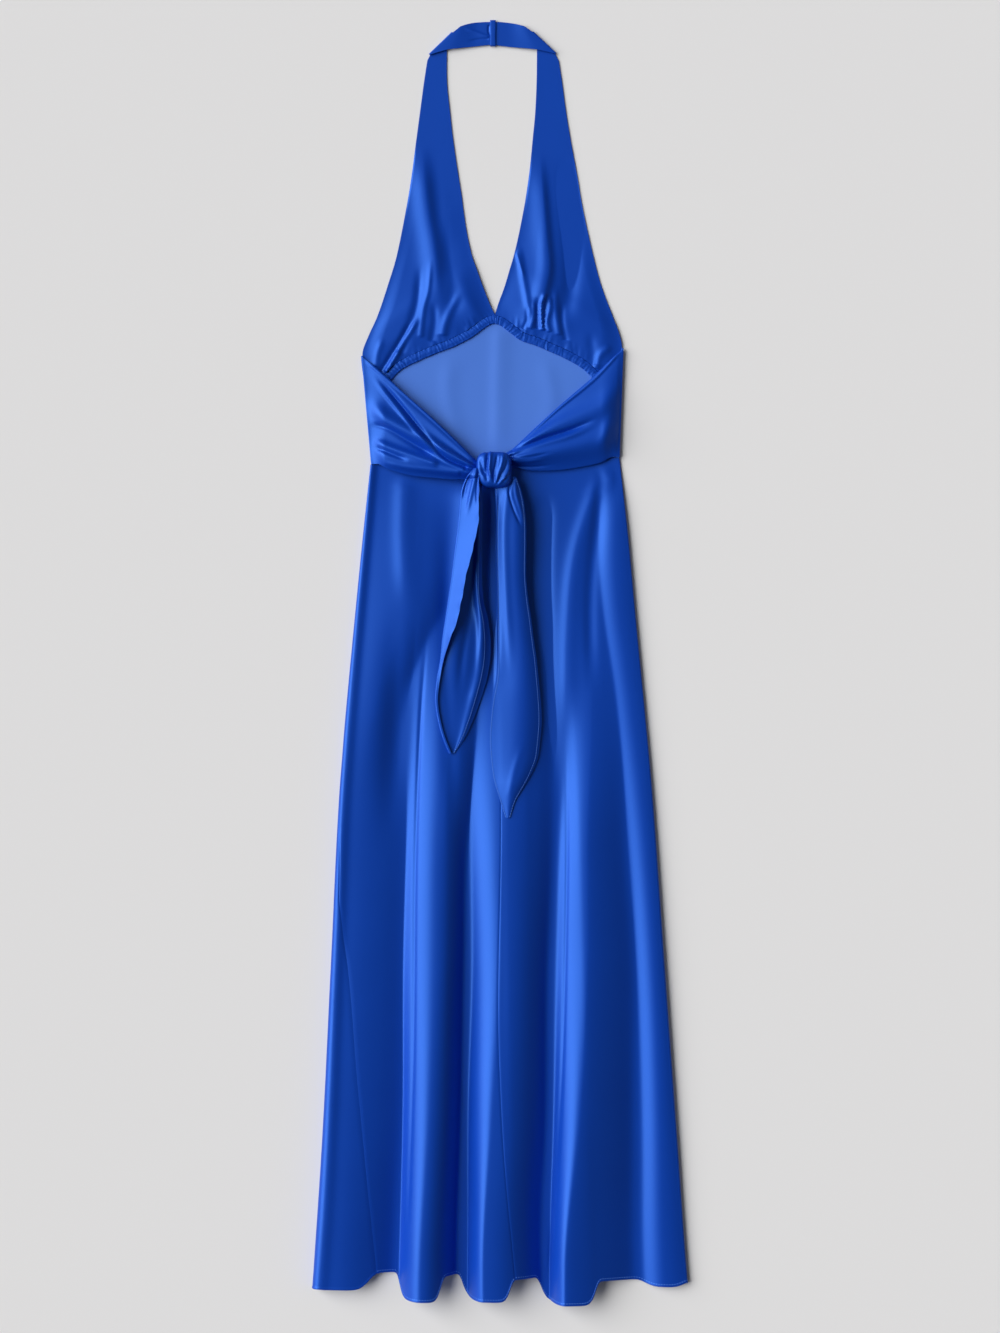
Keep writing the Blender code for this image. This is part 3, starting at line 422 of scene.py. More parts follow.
skirtCreases = [
    # the thin folds along the second and fourth flutes
    (-1.5, 3, 2.4, 0.2, 0.1, [(-90.6, 53.1), (-99.4, -71.9), (-105.6, -246.9), (-108.1, -496.9),
     (-115.6, -721.9)]),
    (-1.3, 2.4, 2.4, 0.25, 0.1, [(81.9, -96.9), (83.1, -246.9), (78.1, -484.4), (69.4, -646.9),
     (59.4, -778.1)]),
    # soft folds that run down from the bands
    (2.2, 9, 13, 0.05, 0.25, [(139.4, 245.6), (114.4, 203.1), (91.9, 128.1), (83.1, 28.1), (81.9, -96.9)]),
    (-2, 7, 8, 0.05, 0.3, [(126.9, 243.1), (120.6, 178.1), (111.9, 78.1), (114.4, -46.9)]),
    (2.2, 11, 14, 0.1, 0.4, [(-120.6, 235.6), (-121.9, 153.1), (-115.6, 53.1)]),
    (-2.4, 14, 12, 0.35, 0.4, [(-128.1, 78.1), (-133.1, -21.9), (-135.6, -121.9), (-140.6, -246.9)]),
    (-2, 10, 10, 0.3, 0.3, [(-66.9, 203.1), (-68.1, 78.1), (-64.4, -46.9), (-56.9, -246.9)]),
    # the swell under the left tail, which falls to the dark gap between the tails
    (6, 20, 19, 0.1, 0.3, [(-34, 228), (-37, 120), (-42, 20), (-46, -70)]),
    (-2.5, 12, 4, 0.05, 0.2, [(-8, 225), (-9, 150), (-8, 60), (-10, -60)]),
    (-3, 14, 8, 0.1, 0.3, [(58, 215.6), (56, 100), (62, -30), (66, -180)]),
]


def fluteRise(flute, place, down):
    columns = dict(zip(skirt["fluteColumns"].split(), np.array(flute["rows"]).T))
    foot, crest, end, height = (float(curveThrough(columns["down"], columns[name], down))
                                for name in ("foot", "crest", "end", "height"))
    left = 1 - (np.maximum(crest - place, 0) / (crest - foot)) ** 2
    right = 1 - (np.maximum(place - crest, 0) / (end - crest)) ** flute["fall"]
    dome = height * np.minimum(left, right)
    soft = skirt["valleySoft"]
    return soft * np.log1p(np.exp(np.maximum(dome, -60) / soft)) * smoothStep(height / skirt["fluteStarts"])


def skirtFrontHeight(place, down):
    domes = np.array([fluteRise(flute, place, down) for flute in skirt["flutes"]])
    height = secondLayer + (domes ** skirt["fluteJoin"]).sum(axis=0) ** (1 / skirt["fluteJoin"])
    return height + skirt["edgePuff"] * bump(place, skirt["edgePuffHalf"])


def skirtHem(across):
    hem = mix(*skirt["hem"], across)
    for dip in named(skirt["dipColumns"], skirt["dips"]):
        hem = hem - dip["drop"] * bump(across - dip["place"], dip["half"], dip["square"])
    return hem


# the cloth's middle round the skirt: 0 to 1 on the front, below and above on the rolled sides
def skirtPoints(place, down):
    across = np.clip(place, 0.0, 1.0)
    y = mix(mix(*skirt["waist"], across), skirtHem(across), down)
    rolls = [(float(skirtFrontHeight(np.array(edge), down)) - floorCloth) / 2 for edge in (0.0, 1.0)]
    left = valueAt(skirt["edges"], y, 1) + floorCloth + rolls[0]
    right = valueAt(skirt["edges"], y, 2) - floorCloth - rolls[1]
    x = mix(left, right, across)
    z = skirtFrontHeight(across, down)
    z = z + betweenEnds(across, 0.04) * softRidges(x, y, skirtCreases) * smoothStep(down / 0.012)
    z = np.maximum(z, secondLayer - 0.9)
    turn = np.where(place < 0, -place, np.where(place > 1, place - 1, 0)) * math.pi
    roll = np.where(place < 0, rolls[0], rolls[1])
    x = x + np.where(place < 0, -1, 1) * np.where((place < 0) | (place > 1), roll * np.sin(turn), 0)
    z = np.where((place < 0) | (place > 1), floorCloth + roll * (1 + np.cos(turn)), z)
    return pointsAt(x, y, z)


def skirtDowns():
    main = np.linspace(0.0, 1 - skirt["hemDeep"] / skirt["length"], skirt["rows"])
    return np.concatenate([main, np.linspace(main[-1], 1.0, skirt["hemRows"])[1:]])[::-1]


# a narrow turned hem stands proud of the cloth, with a groove where it is stitched
def foldHem(rows, deep, proud, fromEdge):
    out = facing(rows)
    band = smoothStep((deep - fromEdge) / 0.8) * (0.55 + 0.45 * smoothStep(fromEdge / 0.8))
    groove = bump(fromEdge - deep + 0.7, 0.35)
    return rows + out * (proud * band - 0.25 * groove)[..., None]


# cloth dips into its seam at the first and last column
def seamGroove(rows, deep=0.35, half=0.9):
    along = distances(rows.swapaxes(0, 1)).T
    for gap in (along, along[:, -1:] - along):
        rows = rows - facing(rows) * (deep * bump(gap, half))[..., None]
    return rows


def makeSkirt():
    downs = skirtDowns()
    trim = 0.06
    left, right, back = [], [], []
    for down in downs:
        sides = valueAt(skirt["leftSeam"], down), valueAt(skirt["centreSeam"], down)
        line = skirtPoints(np.linspace(sides[0], sides[1], 900), down)
        left.append(evenPoints(line, skirt["columns"][0] + 1, skirt["bend"], trim, trim))
        line = skirtPoints(np.linspace(sides[1], skirt["rightSeam"], 900), down)
        right.append(evenPoints(line, skirt["columns"][1] + 1, skirt["bend"], trim, trim))
        rightRoll = evenPoints(skirtPoints(np.linspace(skirt["rightSeam"], 2.0, 60), down), 9, 20, trim)
        leftRoll = evenPoints(skirtPoints(np.linspace(-1.0, sides[0], 300), down), 40, 20, 0, trim)
        spread = np.linspace(0, 1, 82)[1:-1]
        flat = mix(rightRoll[-1], leftRoll[0], spread[:, None])
        straightHem = mix(*skirt["hem"], 1 - spread) + skirt["backShorter"]
        straight = mix(mix(*skirt["waist"], 1 - spread), straightHem, down)
        flat[:, 1] = mix(flat[:, 1], straight, smoothStep(np.minimum(spread, 1 - spread) / 0.05))
        back.append(np.vstack([rightRoll, flat, leftRoll]))
    made = []
    for name, rows in (("skirt_front_left", left), ("skirt_front_right", right), ("skirt_back", back)):
        rows = seamGroove(np.array(rows))
        made.append((name, foldHem(rows, skirt["hemFold"], skirt["hemProud"], distances(rows))))
    return made


# the grids of the pieces, for the stitches to follow
sewn = dict(makeSkirt())
for name, rows in sewn.items():
    piece = layGrid(name + "_satin", rows)
    finishCloth(piece, name, satinBack)
print("skirt is ready")

# The bodice's back: its wrong side shows through the cut-out, and its sides roll up to the side seams.
bodice = dict(
    edges=[(238, -162.6, 149.8), (253, -162, 149.2), (278, -163.1, 149), (303, -164.8, 148.2),
           (328, -168, 148.6), (353, -171.2, 150), (378, -174.2, 152.4), (396, -174.6, 154.6)],
    top=(381, 390), topRise=48, roll=2, rows=90, flatColumns=110,
    cut=dict(flat=(0.34, 0.19), area=0.052, held="laid"),
    creases=[
        (1.2, 9, 14, 0.15, 0.2, [(-0.6, 430.6), (-3.1, 353.1), (-4.4, 253.1)]),
        (0.9, 10, 12, 0.3, 0.3, [(-60.6, 390.6), (-65.6, 334.4), (-48.1, 265.6)]),
        (0.8, 12, 10, 0.3, 0.3, [(51.9, 388.1), (64.4, 328.1), (49.4, 278.1)]),
        (0.8, 8, 8, 0.3, 0.3, [(-150.6, 328.1), (-145.6, 278.1), (-148.1, 228.1)]),
    ],
)


# a point on the bodice's rolled side: turn 0 is on top and half a turn is on the floor
def sideRoll(side, y, turn):
    outward = -1 if side == "left" else 1
    edge = valueAt(bodice["edges"], y, 1 if side == "left" else 2)
    x = edge - outward * (floorCloth + bodice["roll"] * (1 - np.sin(turn)))
    return pointsAt(x, y, floorCloth + bodice["roll"] * (1 + np.cos(turn)))


def makeBackBodice():
    rows = []
    turns = np.linspace(math.pi / 2 + 0.03, math.pi, 9)
    spread = np.linspace(0, 1, bodice["flatColumns"] + 2)[1:-1]
    ups = np.concatenate([np.linspace(0, 0.95, bodice["rows"]), np.linspace(0.95, 1.0, 14)[1:]])
    for up in ups:
        y = [mix(skirt["waist"][k] + cloth["seamGap"] * 0.3, bodice["top"][k], up) for k in (0, 1)]
        left, right = sideRoll("left", y[0], turns), sideRoll("right", y[1], turns)[::-1]
        flat = mix(left[-1], right[0], spread[:, None])
        flat[:, 1] += up * bodice["topRise"] * (1 - np.abs(2 * spread - 1) ** 1.7)
        calm = smoothStep(np.minimum(spread, 1 - spread) / 0.05)
        flat[:, 2] += softRidges(flat[:, 0], flat[:, 1], bodice["creases"]) * calm
        rows.append(np.vstack([left, flat, right])[::-1])
    rows = np.array(rows)
    return foldHem(rows, skirt["hemFold"], -0.3, distances(rows[::-1])[::-1])


piece = layGrid("back_bodice_satin", makeBackBodice())
finishCloth(piece, "back_bodice", satinBack)
print("back bodice is ready")

# The casings: flat tubes of cloth gathered on elastic, from the centre out to the side.
casing = dict(
    half=5.3, high=2, middle=cloth["solidWall"] + cloth["seamGap"] + 1, stations=300, around=28, crinkle=0.5,
    wall=0.3, cut=dict(flat=(0.024, 0.195), area=0.0045, held="gathered"),
    paths=dict(
        left=[(-7.05, 429), (-16.3, 426.2), (-25.6, 420), (-39.4, 410), (-60.6, 399.1), (-81.3, 391.3),
              (-100.1, 383.3), (-118.8, 374.6), (-130.6, 366.9), (-140.3, 356.6), (-153, 346.6),
              (-165.6, 343.6)],
        right=[(-6.75, 429), (3.1, 425.1), (17.4, 414.4), (28.1, 406.9), (46.1, 400.8), (63.1, 393.4),
               (80.6, 385.6), (98.1, 376.3), (109.4, 368.1), (118.8, 359), (131, 350), (144.6, 346)]),
)


# points along a casing's middle and the direction across it, towards the cup
def casingLine(side, share):
    path = casing["paths"][side]
    place = np.asarray(share, float) * (len(path) - 1)
    point = rowsThrough(path, place)
    along = rowsThrough(path, place + 0.2) - rowsThrough(path, place - 0.2)
    along[..., 1] = np.where(place == 0, 0.0, along[..., 1])
    across = np.stack([-along[..., 1], along[..., 0]], axis=-1)
    across /= np.linalg.norm(across, axis=-1, keepdims=True)
    return point, across * np.where(across[..., 1:] > 0, 1, -1)


# small uneven gathers along the elastic
def crinkles(seed, along, across):
    draw = random.Random(seed)
    found = np.zeros(np.broadcast(along, across).shape)
    place = 1.0
    while place < 200.0:
        wide, high = draw.uniform(0.9, 1.9), draw.uniform(0.35, 1.0)
        lean, bow = draw.uniform(-0.35, 0.35), draw.uniform(-0.05, 0.05)
        found += high * bump(along - place - lean * across - bow * across**2, wide)
        place += draw.uniform(2.2, 5.2)
    return found


def makeCasing(side):
    share = np.linspace(0.0, 1.0, casing["stations"])
    point, across = casingLine(side, share)
    along = distances(point)
    turns = np.linspace(0, 2 * math.pi, casing["around"] + 1)
    out = np.sign(np.cos(turns)) * np.abs(np.cos(turns)) ** 0.75 * casing["half"]
    up = np.sign(np.sin(turns)) * np.abs(np.sin(turns)) ** 0.8 * casing["high"] / 2
    ripple = crinkles(7 if side == "left" else 8, along[:, None], out[None, :])
    stitched = sum(bump(out - at, 0.7) for at in (-3.1, 3.1))[None, :]
    lift = casing["crinkle"] * (ripple - 0.6) * (1 - 0.5 * stitched) - 0.28 * stitched
    lift = lift * np.where(up > 0.2, 1.0, 0.15)[None, :]
    edge = 1 + 0.045 * (ripple - 0.5) * np.abs(out / casing["half"]) ** 3
    rows = np.zeros((len(share), len(turns), 3))
    rows[..., :2] = point[:, None, :] + across[:, None, :] * (out[None, :] * edge)[..., None]
    rows[..., 2] = casing["middle"] + up[None, :] + lift
    return rows if side == "right" else rows[:, ::-1]


# joins the two meeting edges of a rolled grid, and closes its ends
def closeTube(piece, ends=True):
    only(piece)
    bpy.ops.object.mode_set(mode="EDIT")
    bpy.ops.mesh.select_all(action="SELECT")
    bpy.ops.mesh.remove_doubles(threshold=0.02 * mm)
    if ends:
        bpy.ops.mesh.select_all(action="DESELECT")
        bpy.ops.mesh.select_non_manifold(extend=False)
        bpy.ops.mesh.fill()
        bpy.ops.mesh.select_all(action="SELECT")
    bpy.ops.mesh.normals_make_consistent(inside=False)
    bpy.ops.object.mode_set(mode="OBJECT")


for side in ("left", "right"):
    sewn["casing_" + side] = makeCasing(side)
    piece = layGrid("casing_" + side + "_satin", sewn["casing_" + side])
    closeTube(piece)
    finishCloth(piece, "casing_" + side,
                wall=casing["wall"], inward=True)
print("casings are ready")

# The cups, each cut in one with its halter strap and the strap's end behind the neck.
# A strip is a table of pairs (outer x, outer y, inner x, inner y).
cups = dict(
    left=dict(
        seed=21,
        strip=[(-166.6, 349.3, -12.8, 433.1), (-170.6, 372, -17.5, 444.4), (-172.2, 388, -23.8, 464.4),
               (-164.8, 408.1, -31.3, 490.6), (-153.1, 434.4, -36.3, 509.4), (-140.6, 471.9, -42.5, 539.4),
               (-129.4, 509.4, -46.9, 569.4), (-118.1, 565.6, -48.8, 584.4), (-111.3, 605.6, -53.8, 615.6),
               (-105.6, 650, -59.4, 654.4), (-100.6, 687.5, -63.1, 687.5), (-95.6, 725, -66.9, 725),
               (-91.5, 751.9, -67.1, 765.6)],
        strapFold=(-89.6, 760.6, -61.2, 788),
        neck=[(-66, 765.6, -50, 794.3), (-52, 767.2, -42, 797), (-38, 768.8, -33, 799),
              (-24, 770.4, -23, 799.9), (-9.85, 771.9, -9.85, 800.3)],
        # a fold is (foot, crown, half, ends, height), in shares from the outer to the inner edge and up
        folds=[(0.86, 0.66, 0.1, 0.72, 1.5)],
        creases=[
            (4.2, 15, 9, 0.3, 0.3, [(-100, 650), (-92, 570), (-84, 520), (-80, 478), (-78, 434)]),
            (-1.6, 8, 12, 0.4, 0.2, [(-70, 560), (-64, 510), (-58, 470), (-64, 424)]),
            (1.2, 3.4, 3, 0.3, 0.05, [(-87, 506), (-90, 466), (-96, 440), (-100, 404)]),
            (-1.8, 5, 4.5, 0.3, 0.05, [(-100, 500), (-104, 450), (-116, 410), (-126, 384)]),
            (2.6, 3.4, 3.4, 0.2, 0.02, [(-102, 432), (-116, 408), (-132, 380), (-143, 362)]),
            (-1.8, 3.4, 3, 0.25, 0.02, [(-110, 428), (-126, 400), (-141, 376), (-150, 362)]),
            (1.8, 5, 4.5, 0.4, 0.05, [(-48, 466), (-62, 440), (-69, 422), (-72, 407)]),
            (-1.2, 4, 4.5, 0.3, 0.05, [(-84, 452), (-82, 428), (-86, 400)]),
            (1, 4, 4, 0.3, 0.1, [(-146, 406), (-153, 388), (-156, 368)]),
        ]),
    right=dict(
        seed=22,
        strip=[(146, 351.6, -0.9, 432.5), (149.8, 374, 2.5, 446.9), (151.8, 392, 8.1, 466.9),
               (148.5, 410, 13.4, 491.3), (139.4, 434.4, 17.5, 510.6), (125.6, 471.9, 23.8, 539.4),
               (115.6, 509.4, 29.4, 568.1), (103.1, 565.6, 32.3, 585.6), (96.3, 605.6, 36.5, 615.6),
               (88.1, 650, 40.3, 654.4), (81.9, 687.5, 43.4, 687.5), (76.9, 725, 45.1, 725),
               (72.8, 751.9, 45.6, 765.6)],
        strapFold=(69.8, 762, 41.5, 788.5),
        neck=[(46, 765.5, 31, 793.9), (33, 766.9, 23.5, 796.3), (19, 768.2, 15, 798.2),
              (4, 769.8, 2.5, 799.8), (-9.15, 771.9, -9.15, 800.3)],
        folds=[(0.72, 0.66, 0.09, 0.74, 2.5), (0.56, 0.44, 0.07, 0.45, 1.5)],
        creases=[
            (3, 14, 6, 0.3, 0.1, [(48, 640), (56, 540), (60, 497), (56, 470), (48, 440)]),
            (1, 1.6, 1.6, 0.2, 0.3, [(19, 515), (24, 498), (30, 478)]),
            (1.6, 4, 4, 0.2, 0.15, [(21, 522), (26, 493), (32, 459), (38, 426)]),
            (-3, 10, 11, 0.4, 0.15, [(78, 640), (86, 566), (88, 490), (78, 416)]),
            (2.4, 2.6, 2.6, 0.15, 0.04, [(57, 462), (51, 446), (51, 428), (53, 414)]),
            (1.6, 2.4, 2.8, 0.15, 0.04, [(61, 458), (62, 443), (58, 426), (61, 412)]),
            (-1.3, 1.6, 1.6, 0.2, 0.04, [(57, 453), (56, 438), (54, 416)]),
            (-1.8, 3.2, 3, 0.3, 0.04, [(47, 458), (46, 438), (46, 416)]),
            (1.4, 2.6, 2.6, 0.3, 0.04, [(41, 453), (42, 433), (37, 416)]),
            (-1, 2.4, 2.4, 0.3, 0.04, [(33, 446), (33, 428), (28, 416)]),
            (1.2, 3.6, 3.6, 0.3, 0.04, [(69, 470), (69, 438), (73, 408)]),
            (-1.2, 3.2, 3.4, 0.3, 0.04, [(77, 453), (77, 426), (82, 401)]),
            (1.2, 4.5, 4.5, 0.25, 0.05, [(139, 396), (124, 383), (119, 366)]),
            (-1, 6, 6, 0.4, 0.05, [(112, 416), (114, 396), (117, 371)]),
        ]),
    # how the rows crowd towards the casing, and the shares up the strip where its pull, the puff and
    # the layer over the back end
    crowding=1.35, followEnds=1 / 2.6, puffEnds=0.62, leavesBack=0.42, edge=0.2, gathers=40, gathersLong=20,
    puff=3, rows=175, columns=112, foldRadius=1.5, foldRows=14, neckRows=46,
    neckMiddle=1 + cloth["seamGap"] + cloth["solidWall"] / 2,
    cut=dict(flat=(0.18, 0.53), area=0.0315, held="gathered"),
)


# short uneven gathers where cloth is drawn into a seam; along is mm on the seam and up is mm away from it
def smallGathers(seed, along, up, count, longest):
    draw = random.Random(seed)
    found = np.zeros(np.shape(along))
    for _ in range(count):
        place, wide, high = draw.uniform(8, 185), draw.uniform(1.0, 2.0), draw.uniform(0.15, 0.45)
        long, lean = draw.uniform(0.3, 1.0) * longest, draw.uniform(-0.25, 0.25)
        found += high * bump(along - place - lean * up, wide * (1 + up / longest)) * smoothStep(1 - up / long)
    return found


def makeCup(side):
    cup = cups[side]
    shares = np.linspace(0, 1, cups["columns"] + 1)
    outer0, inner0 = np.array(cup["strip"][0][:2]), np.array(cup["strip"][0][2:])
    seam, upward = casingLine(side, 1 - shares)
    seam = seam + upward * (casing["half"] + 0.1)
    alongSeam = distances(seam)
    rows = []
    for step in range(cups["rows"] + 1):
        up = (step / cups["rows"]) ** cups["crowding"]
        pair = rowsThrough(cup["strip"], up * (len(cup["strip"]) - 1))
        follow = 1 - smoothStep(up / cups["followEnds"])
        place = mix(pair[:2], pair[2:], shares[:, None])
        place = place + (seam - mix(outer0, inner0, shares[:, None])) * follow
        edge = betweenEnds(shares, cups["edge"])
        rise = cups["puff"] * edge * smoothStep((cups["puffEnds"] - up) / 0.5) * smoothStep((up + 0.06) / 0.2)
        for foot, crown, half, ends, high in cup["folds"]:
            centre = mix(foot, crown, min(1.0, up / ends))
            fade = smoothStep((ends - up) / ends) * smoothStep((up + 0.05) / 0.12)
            rise = rise + high * fade * edge * bump(shares - centre, half)
        away = np.linalg.norm(place - seam, axis=1)
        small = smallGathers(cup["seed"], alongSeam, away, cups["gathers"], cups["gathersLong"])
        fine = softRidges(place[:, 0], place[:, 1], cup["creases"]) + small * edge
        rise = rise + betweenEnds(shares, 0.03) * fine
        layer = mix(floorCloth, secondLayer, smoothStep((cups["leavesBack"] - up) / 0.2))
        lowest = np.maximum(layer - 0.3 - 0.6 * edge, floorCloth - 0.2)
        rows.append(np.column_stack([place, np.maximum(layer + rise, lowest)]))
    outer, inner = np.array(cup["strapFold"][:2]), np.array(cup["strapFold"][2:])
    along = (inner - outer) / np.linalg.norm(inner - outer)
    outward = np.array([-along[1], along[0]]) * (1 if along[0] > 0 else -1)
    for turn in np.linspace(0, math.pi, cups["foldRows"] + 1):
        shift = outward * (cups["foldRadius"] * (math.sin(turn) - 1) - floorCloth)
        height = floorCloth + cups["foldRadius"] * (1 - math.cos(turn))
        place = mix(outer, inner, shares[:, None]) + shift
        rows.append(pointsAt(place[:, 0], place[:, 1], height))
    folded = floorCloth + 2 * cups["foldRadius"]
    for share in np.linspace(0.0, 1.0, cups["neckRows"]):
        pair = rowsThrough(cup["neck"], share * (len(cup["neck"]) - 1))
        height = mix(folded, cups["neckMiddle"], smoothStep(share * 1.5))
        place = mix(pair[:2], pair[2:], shares[:, None])
        rise = softRidges(place[:, 0], place[:, 1], neckCreases) * betweenEnds(shares, 0.1)
        rows.append(np.column_stack([place, height + rise]))
    rows = np.array(rows)
    return rows if side == "left" else rows[:, ::-1]


neckCreases = [
    (0.8, 1.8, 2.2, 0.4, 0.02, [(-48.1, 793.1), (-30.6, 786.9), (-15, 780.6)]),
    (-0.6, 1.8, 1.8, 0.4, 0.02, [(-43.1, 775.6), (-28.1, 778.1), (-15, 779.4)]),
    (-1.3, 1.3, 1, 0.25, 0.25, [(-13.9, 798.1), (-14.4, 790.6), (-13.6, 782.5)]),
]


for side in ("left", "right"):
    piece = layGrid("cup_" + side + "_satin", makeCup(side))
    finishCloth(piece, "cup_" + side)
print("cups are ready")

# The loop of cloth round both strap ends.
neckLoop = dict(x=-9.5, y=786.1, halfLong=16.5, wide=6.7, wall=1, pinch=0.1, pinchY=783,
                cut=dict(flat=(0.01, 0.07), area=0.0005, held="folded"))


def makeLoop():
    middleY, middleZ = neckLoop["y"], cups["neckMiddle"]
    corner = middleZ - neckLoop["wall"] / 2
    reach = neckLoop["halfLong"] - neckLoop["wall"] / 2 - corner
    ring = []
    for end in (1, -1):
        for turn in np.linspace(-end * math.pi / 2, (2 - end) * math.pi / 2, 15):
            ring.append((middleY + end * reach + corner * math.cos(turn), middleZ + corner * math.sin(turn)))
        for y in np.linspace(1, -1, 24)[1:-1] * end * reach:
            ring.append((middleY + y, middleZ + end * corner))
    ring.append(ring[0])
    shares = np.linspace(-1, 1, 13)
    rows = []
    for y, z in ring:
        pinch = 1 - neckLoop["pinch"] * bump(y - neckLoop["pinchY"], 7)
        crown = (1 - shares**4) * 0.25 * (1 if z > middleZ else -0.5)
        rows.append(pointsAt(neckLoop["x"] + shares * neckLoop["wide"] / 2 * pinch, y, z + crown))
    return np.array(rows)


piece = layGrid("neck_loop_satin", makeLoop())
closeTube(piece, ends=False)
finishCloth(piece, "neck_loop", wall=0.8)
print("neck loop is ready")

# The bands, from the side seams to the knot; pairs are (lower x, lower y, upper x, upper y).
bands = dict(
    left=dict(
        shoulder=0, knotHeight=14,
        strip=[(-162, 247.3, -174.3, 382.8), (-151.5, 247.4, -158, 369.6), (-139, 241, -139, 353.2),
               (-114, 233.8, -120.3, 335.3), (-86, 230.4, -86, 305.2), (-60, 228.3, -57.1, 277.9),
               (-38, 228.5, -36.5, 257.2), (-20, 232, -22, 244)],
        folds=[(0.96, 0.86, 0.13, 3), (0.52, 0.58, 0.1, 6.5), (0.1, 0.26, 0.14, 7.5)],
        creases=[
            (1.6, 1.8, 2.6, 0.1, 0.02, [(-171.9, 379.4), (-125.6, 339.4), (-75.6, 294.4), (-31.9, 251.9)]),
            (-3.2, 2.6, 2.4, 0.25, 0.02, [(-158.1, 360.6), (-125.6, 323.1), (-85.6, 273.1), (-65.6, 253.1),
             (-40.6, 241.9)]),
            (2, 2.4, 3, 0.25, 0.02, [(-160.6, 355.6), (-130.6, 318.1), (-90.6, 269.4), (-70.6, 251.9),
             (-43.1, 239.4)]),
            (-3, 3.6, 3, 0.2, 0.2, [(-163.1, 298.1), (-140.6, 291.9), (-113.1, 275.6), (-80.6, 255.6)]),
            (2.6, 4, 4, 0.2, 0.1, [(-160.6, 278.1), (-138.1, 268.1), (-110.6, 258.1), (-75.6, 245.6)]),
            (-2.4, 2.6, 3, 0.2, 0.3, [(-158.1, 269.4), (-135.6, 259.4), (-113.1, 250.6)]),
            (1.6, 3, 3, 0.2, 0.05, [(-150.6, 250.6), (-120.6, 243.1), (-80.6, 238.1), (-48.1, 234.4)]),
        ]),
    right=dict(
        shoulder=2, knotHeight=8,
        strip=[(149.2, 256.3, 154.2, 392.5), (138.5, 256.4, 140, 380), (122.6, 248.8, 118, 358.5),
               (91, 242.4, 92, 336), (67, 239.8, 70, 316.9), (36, 239.8, 44, 292.9),
               (16.5, 244.5, 16, 266.8), (0, 248, 0, 258)],
        folds=[(0.55, 0.8, 0.14, 5), (0.22, 0.35, 0.18, 8)],
        creases=[
            (1.4, 2.4, 1.6, 0.1, 0.02, [(151.9, 390.6), (116.9, 353.1), (74.4, 318.1), (45.6, 291.9),
             (14.4, 263.1)]),
            (-3.4, 3, 2.4, 0.4, 0.02, [(124.4, 305.6), (86.9, 289.4), (55.6, 279.4), (31.9, 270.6),
             (13.1, 261.9)]),
            (2.6, 3, 4, 0.4, 0.02, [(124.4, 298.1), (89.4, 283.1), (56.9, 273.1), (33.1, 265.6),
             (14.4, 259.4)]),
            (-1.4, 2, 2, 0.5, 0.02, [(69.4, 263.1), (44.4, 256.9), (24.4, 254.4), (13.1, 254.4)]),
            (1.5, 1.8, 1.8, 0.5, 0.02, [(59.4, 253.1), (39.4, 250.6), (23.1, 249.4), (13.1, 250.6)]),
            (-1.4, 1.6, 1.8, 0.5, 0.02, [(69.4, 246.9), (44.4, 244.4), (24.4, 244.4), (13.1, 246.9)]),
            (-0.9, 1, 1, 0.2, 0.2, [(153.9, 390.6), (148.1, 388.1), (144, 384.4)]),
            (0.9, 6, 6, 0.4, 0.3, [(141.9, 328.1), (131.9, 290.6), (119.4, 259.4)]),
        ]),
    billow=4, rows=110, columns=84, rollRows=9,
    cut=dict(flat=(0.14, 0.19), area=0.0125, held="gathered"),
)
bandFloor = heightMap(("skirt_front_left", "skirt_front_right", "back_bodice", "casing_left", "casing_right",
                       "cup_left", "cup_right"), (-180, 160), (220, 400), reach=4, blur=6)


def makeBand(side):
    band = bands[side]
    ups = np.linspace(0, 1, bands["columns"] + 1)
    low, high = band["strip"][0][1], band["strip"][0][3]
    turns = np.linspace(math.pi / 2 - 0.03, 0.0, bands["rollRows"] + 1)
    rows = [sideRoll(side, mix(low, high, ups), turn) for turn in turns]
    for inward in np.linspace(0, 1, bands["rows"] + 1)[1:]:
        pair = rowsThrough(band["strip"], inward * (len(band["strip"]) - 1))
        place = mix(pair[:2], pair[2:], ups[:, None])
        height = mix(floorCloth + 2 * bodice["roll"], band["knotHeight"], smoothStep(inward * 1.05))
        crown = np.sin(math.pi * ups)
        height = height + band["shoulder"] * smoothStep(inward / 0.1) * (1 - inward) * crown**0.5
        spread = smoothStep(inward / 0.25) * smoothStep((1.02 - inward) / 0.2)
        height = height + bands["billow"] * spread * crown
        for atSide, atKnot, half, rise in band["folds"]:
            centre = mix(atSide, atKnot, smoothStep(inward))
            height = height + rise * spread * bump(ups - centre, half)
        height = height + softRidges(place[:, 0], place[:, 1], band["creases"]) * smoothStep(inward / 0.08)
        resting = bandFloor(place[:, 0], place[:, 1]) + cloth["wall"]
        rows.append(np.column_stack([place, np.maximum(resting, height)]))
    rows = np.array(rows)
    return np.swapaxes(rows, 0, 1) if side == "left" else rows


for side in ("left", "right"):
    piece = layGrid("band_" + side + "_satin", makeBand(side))
    finishCloth(piece, "band_" + side, satinBack)
print("bands are ready")

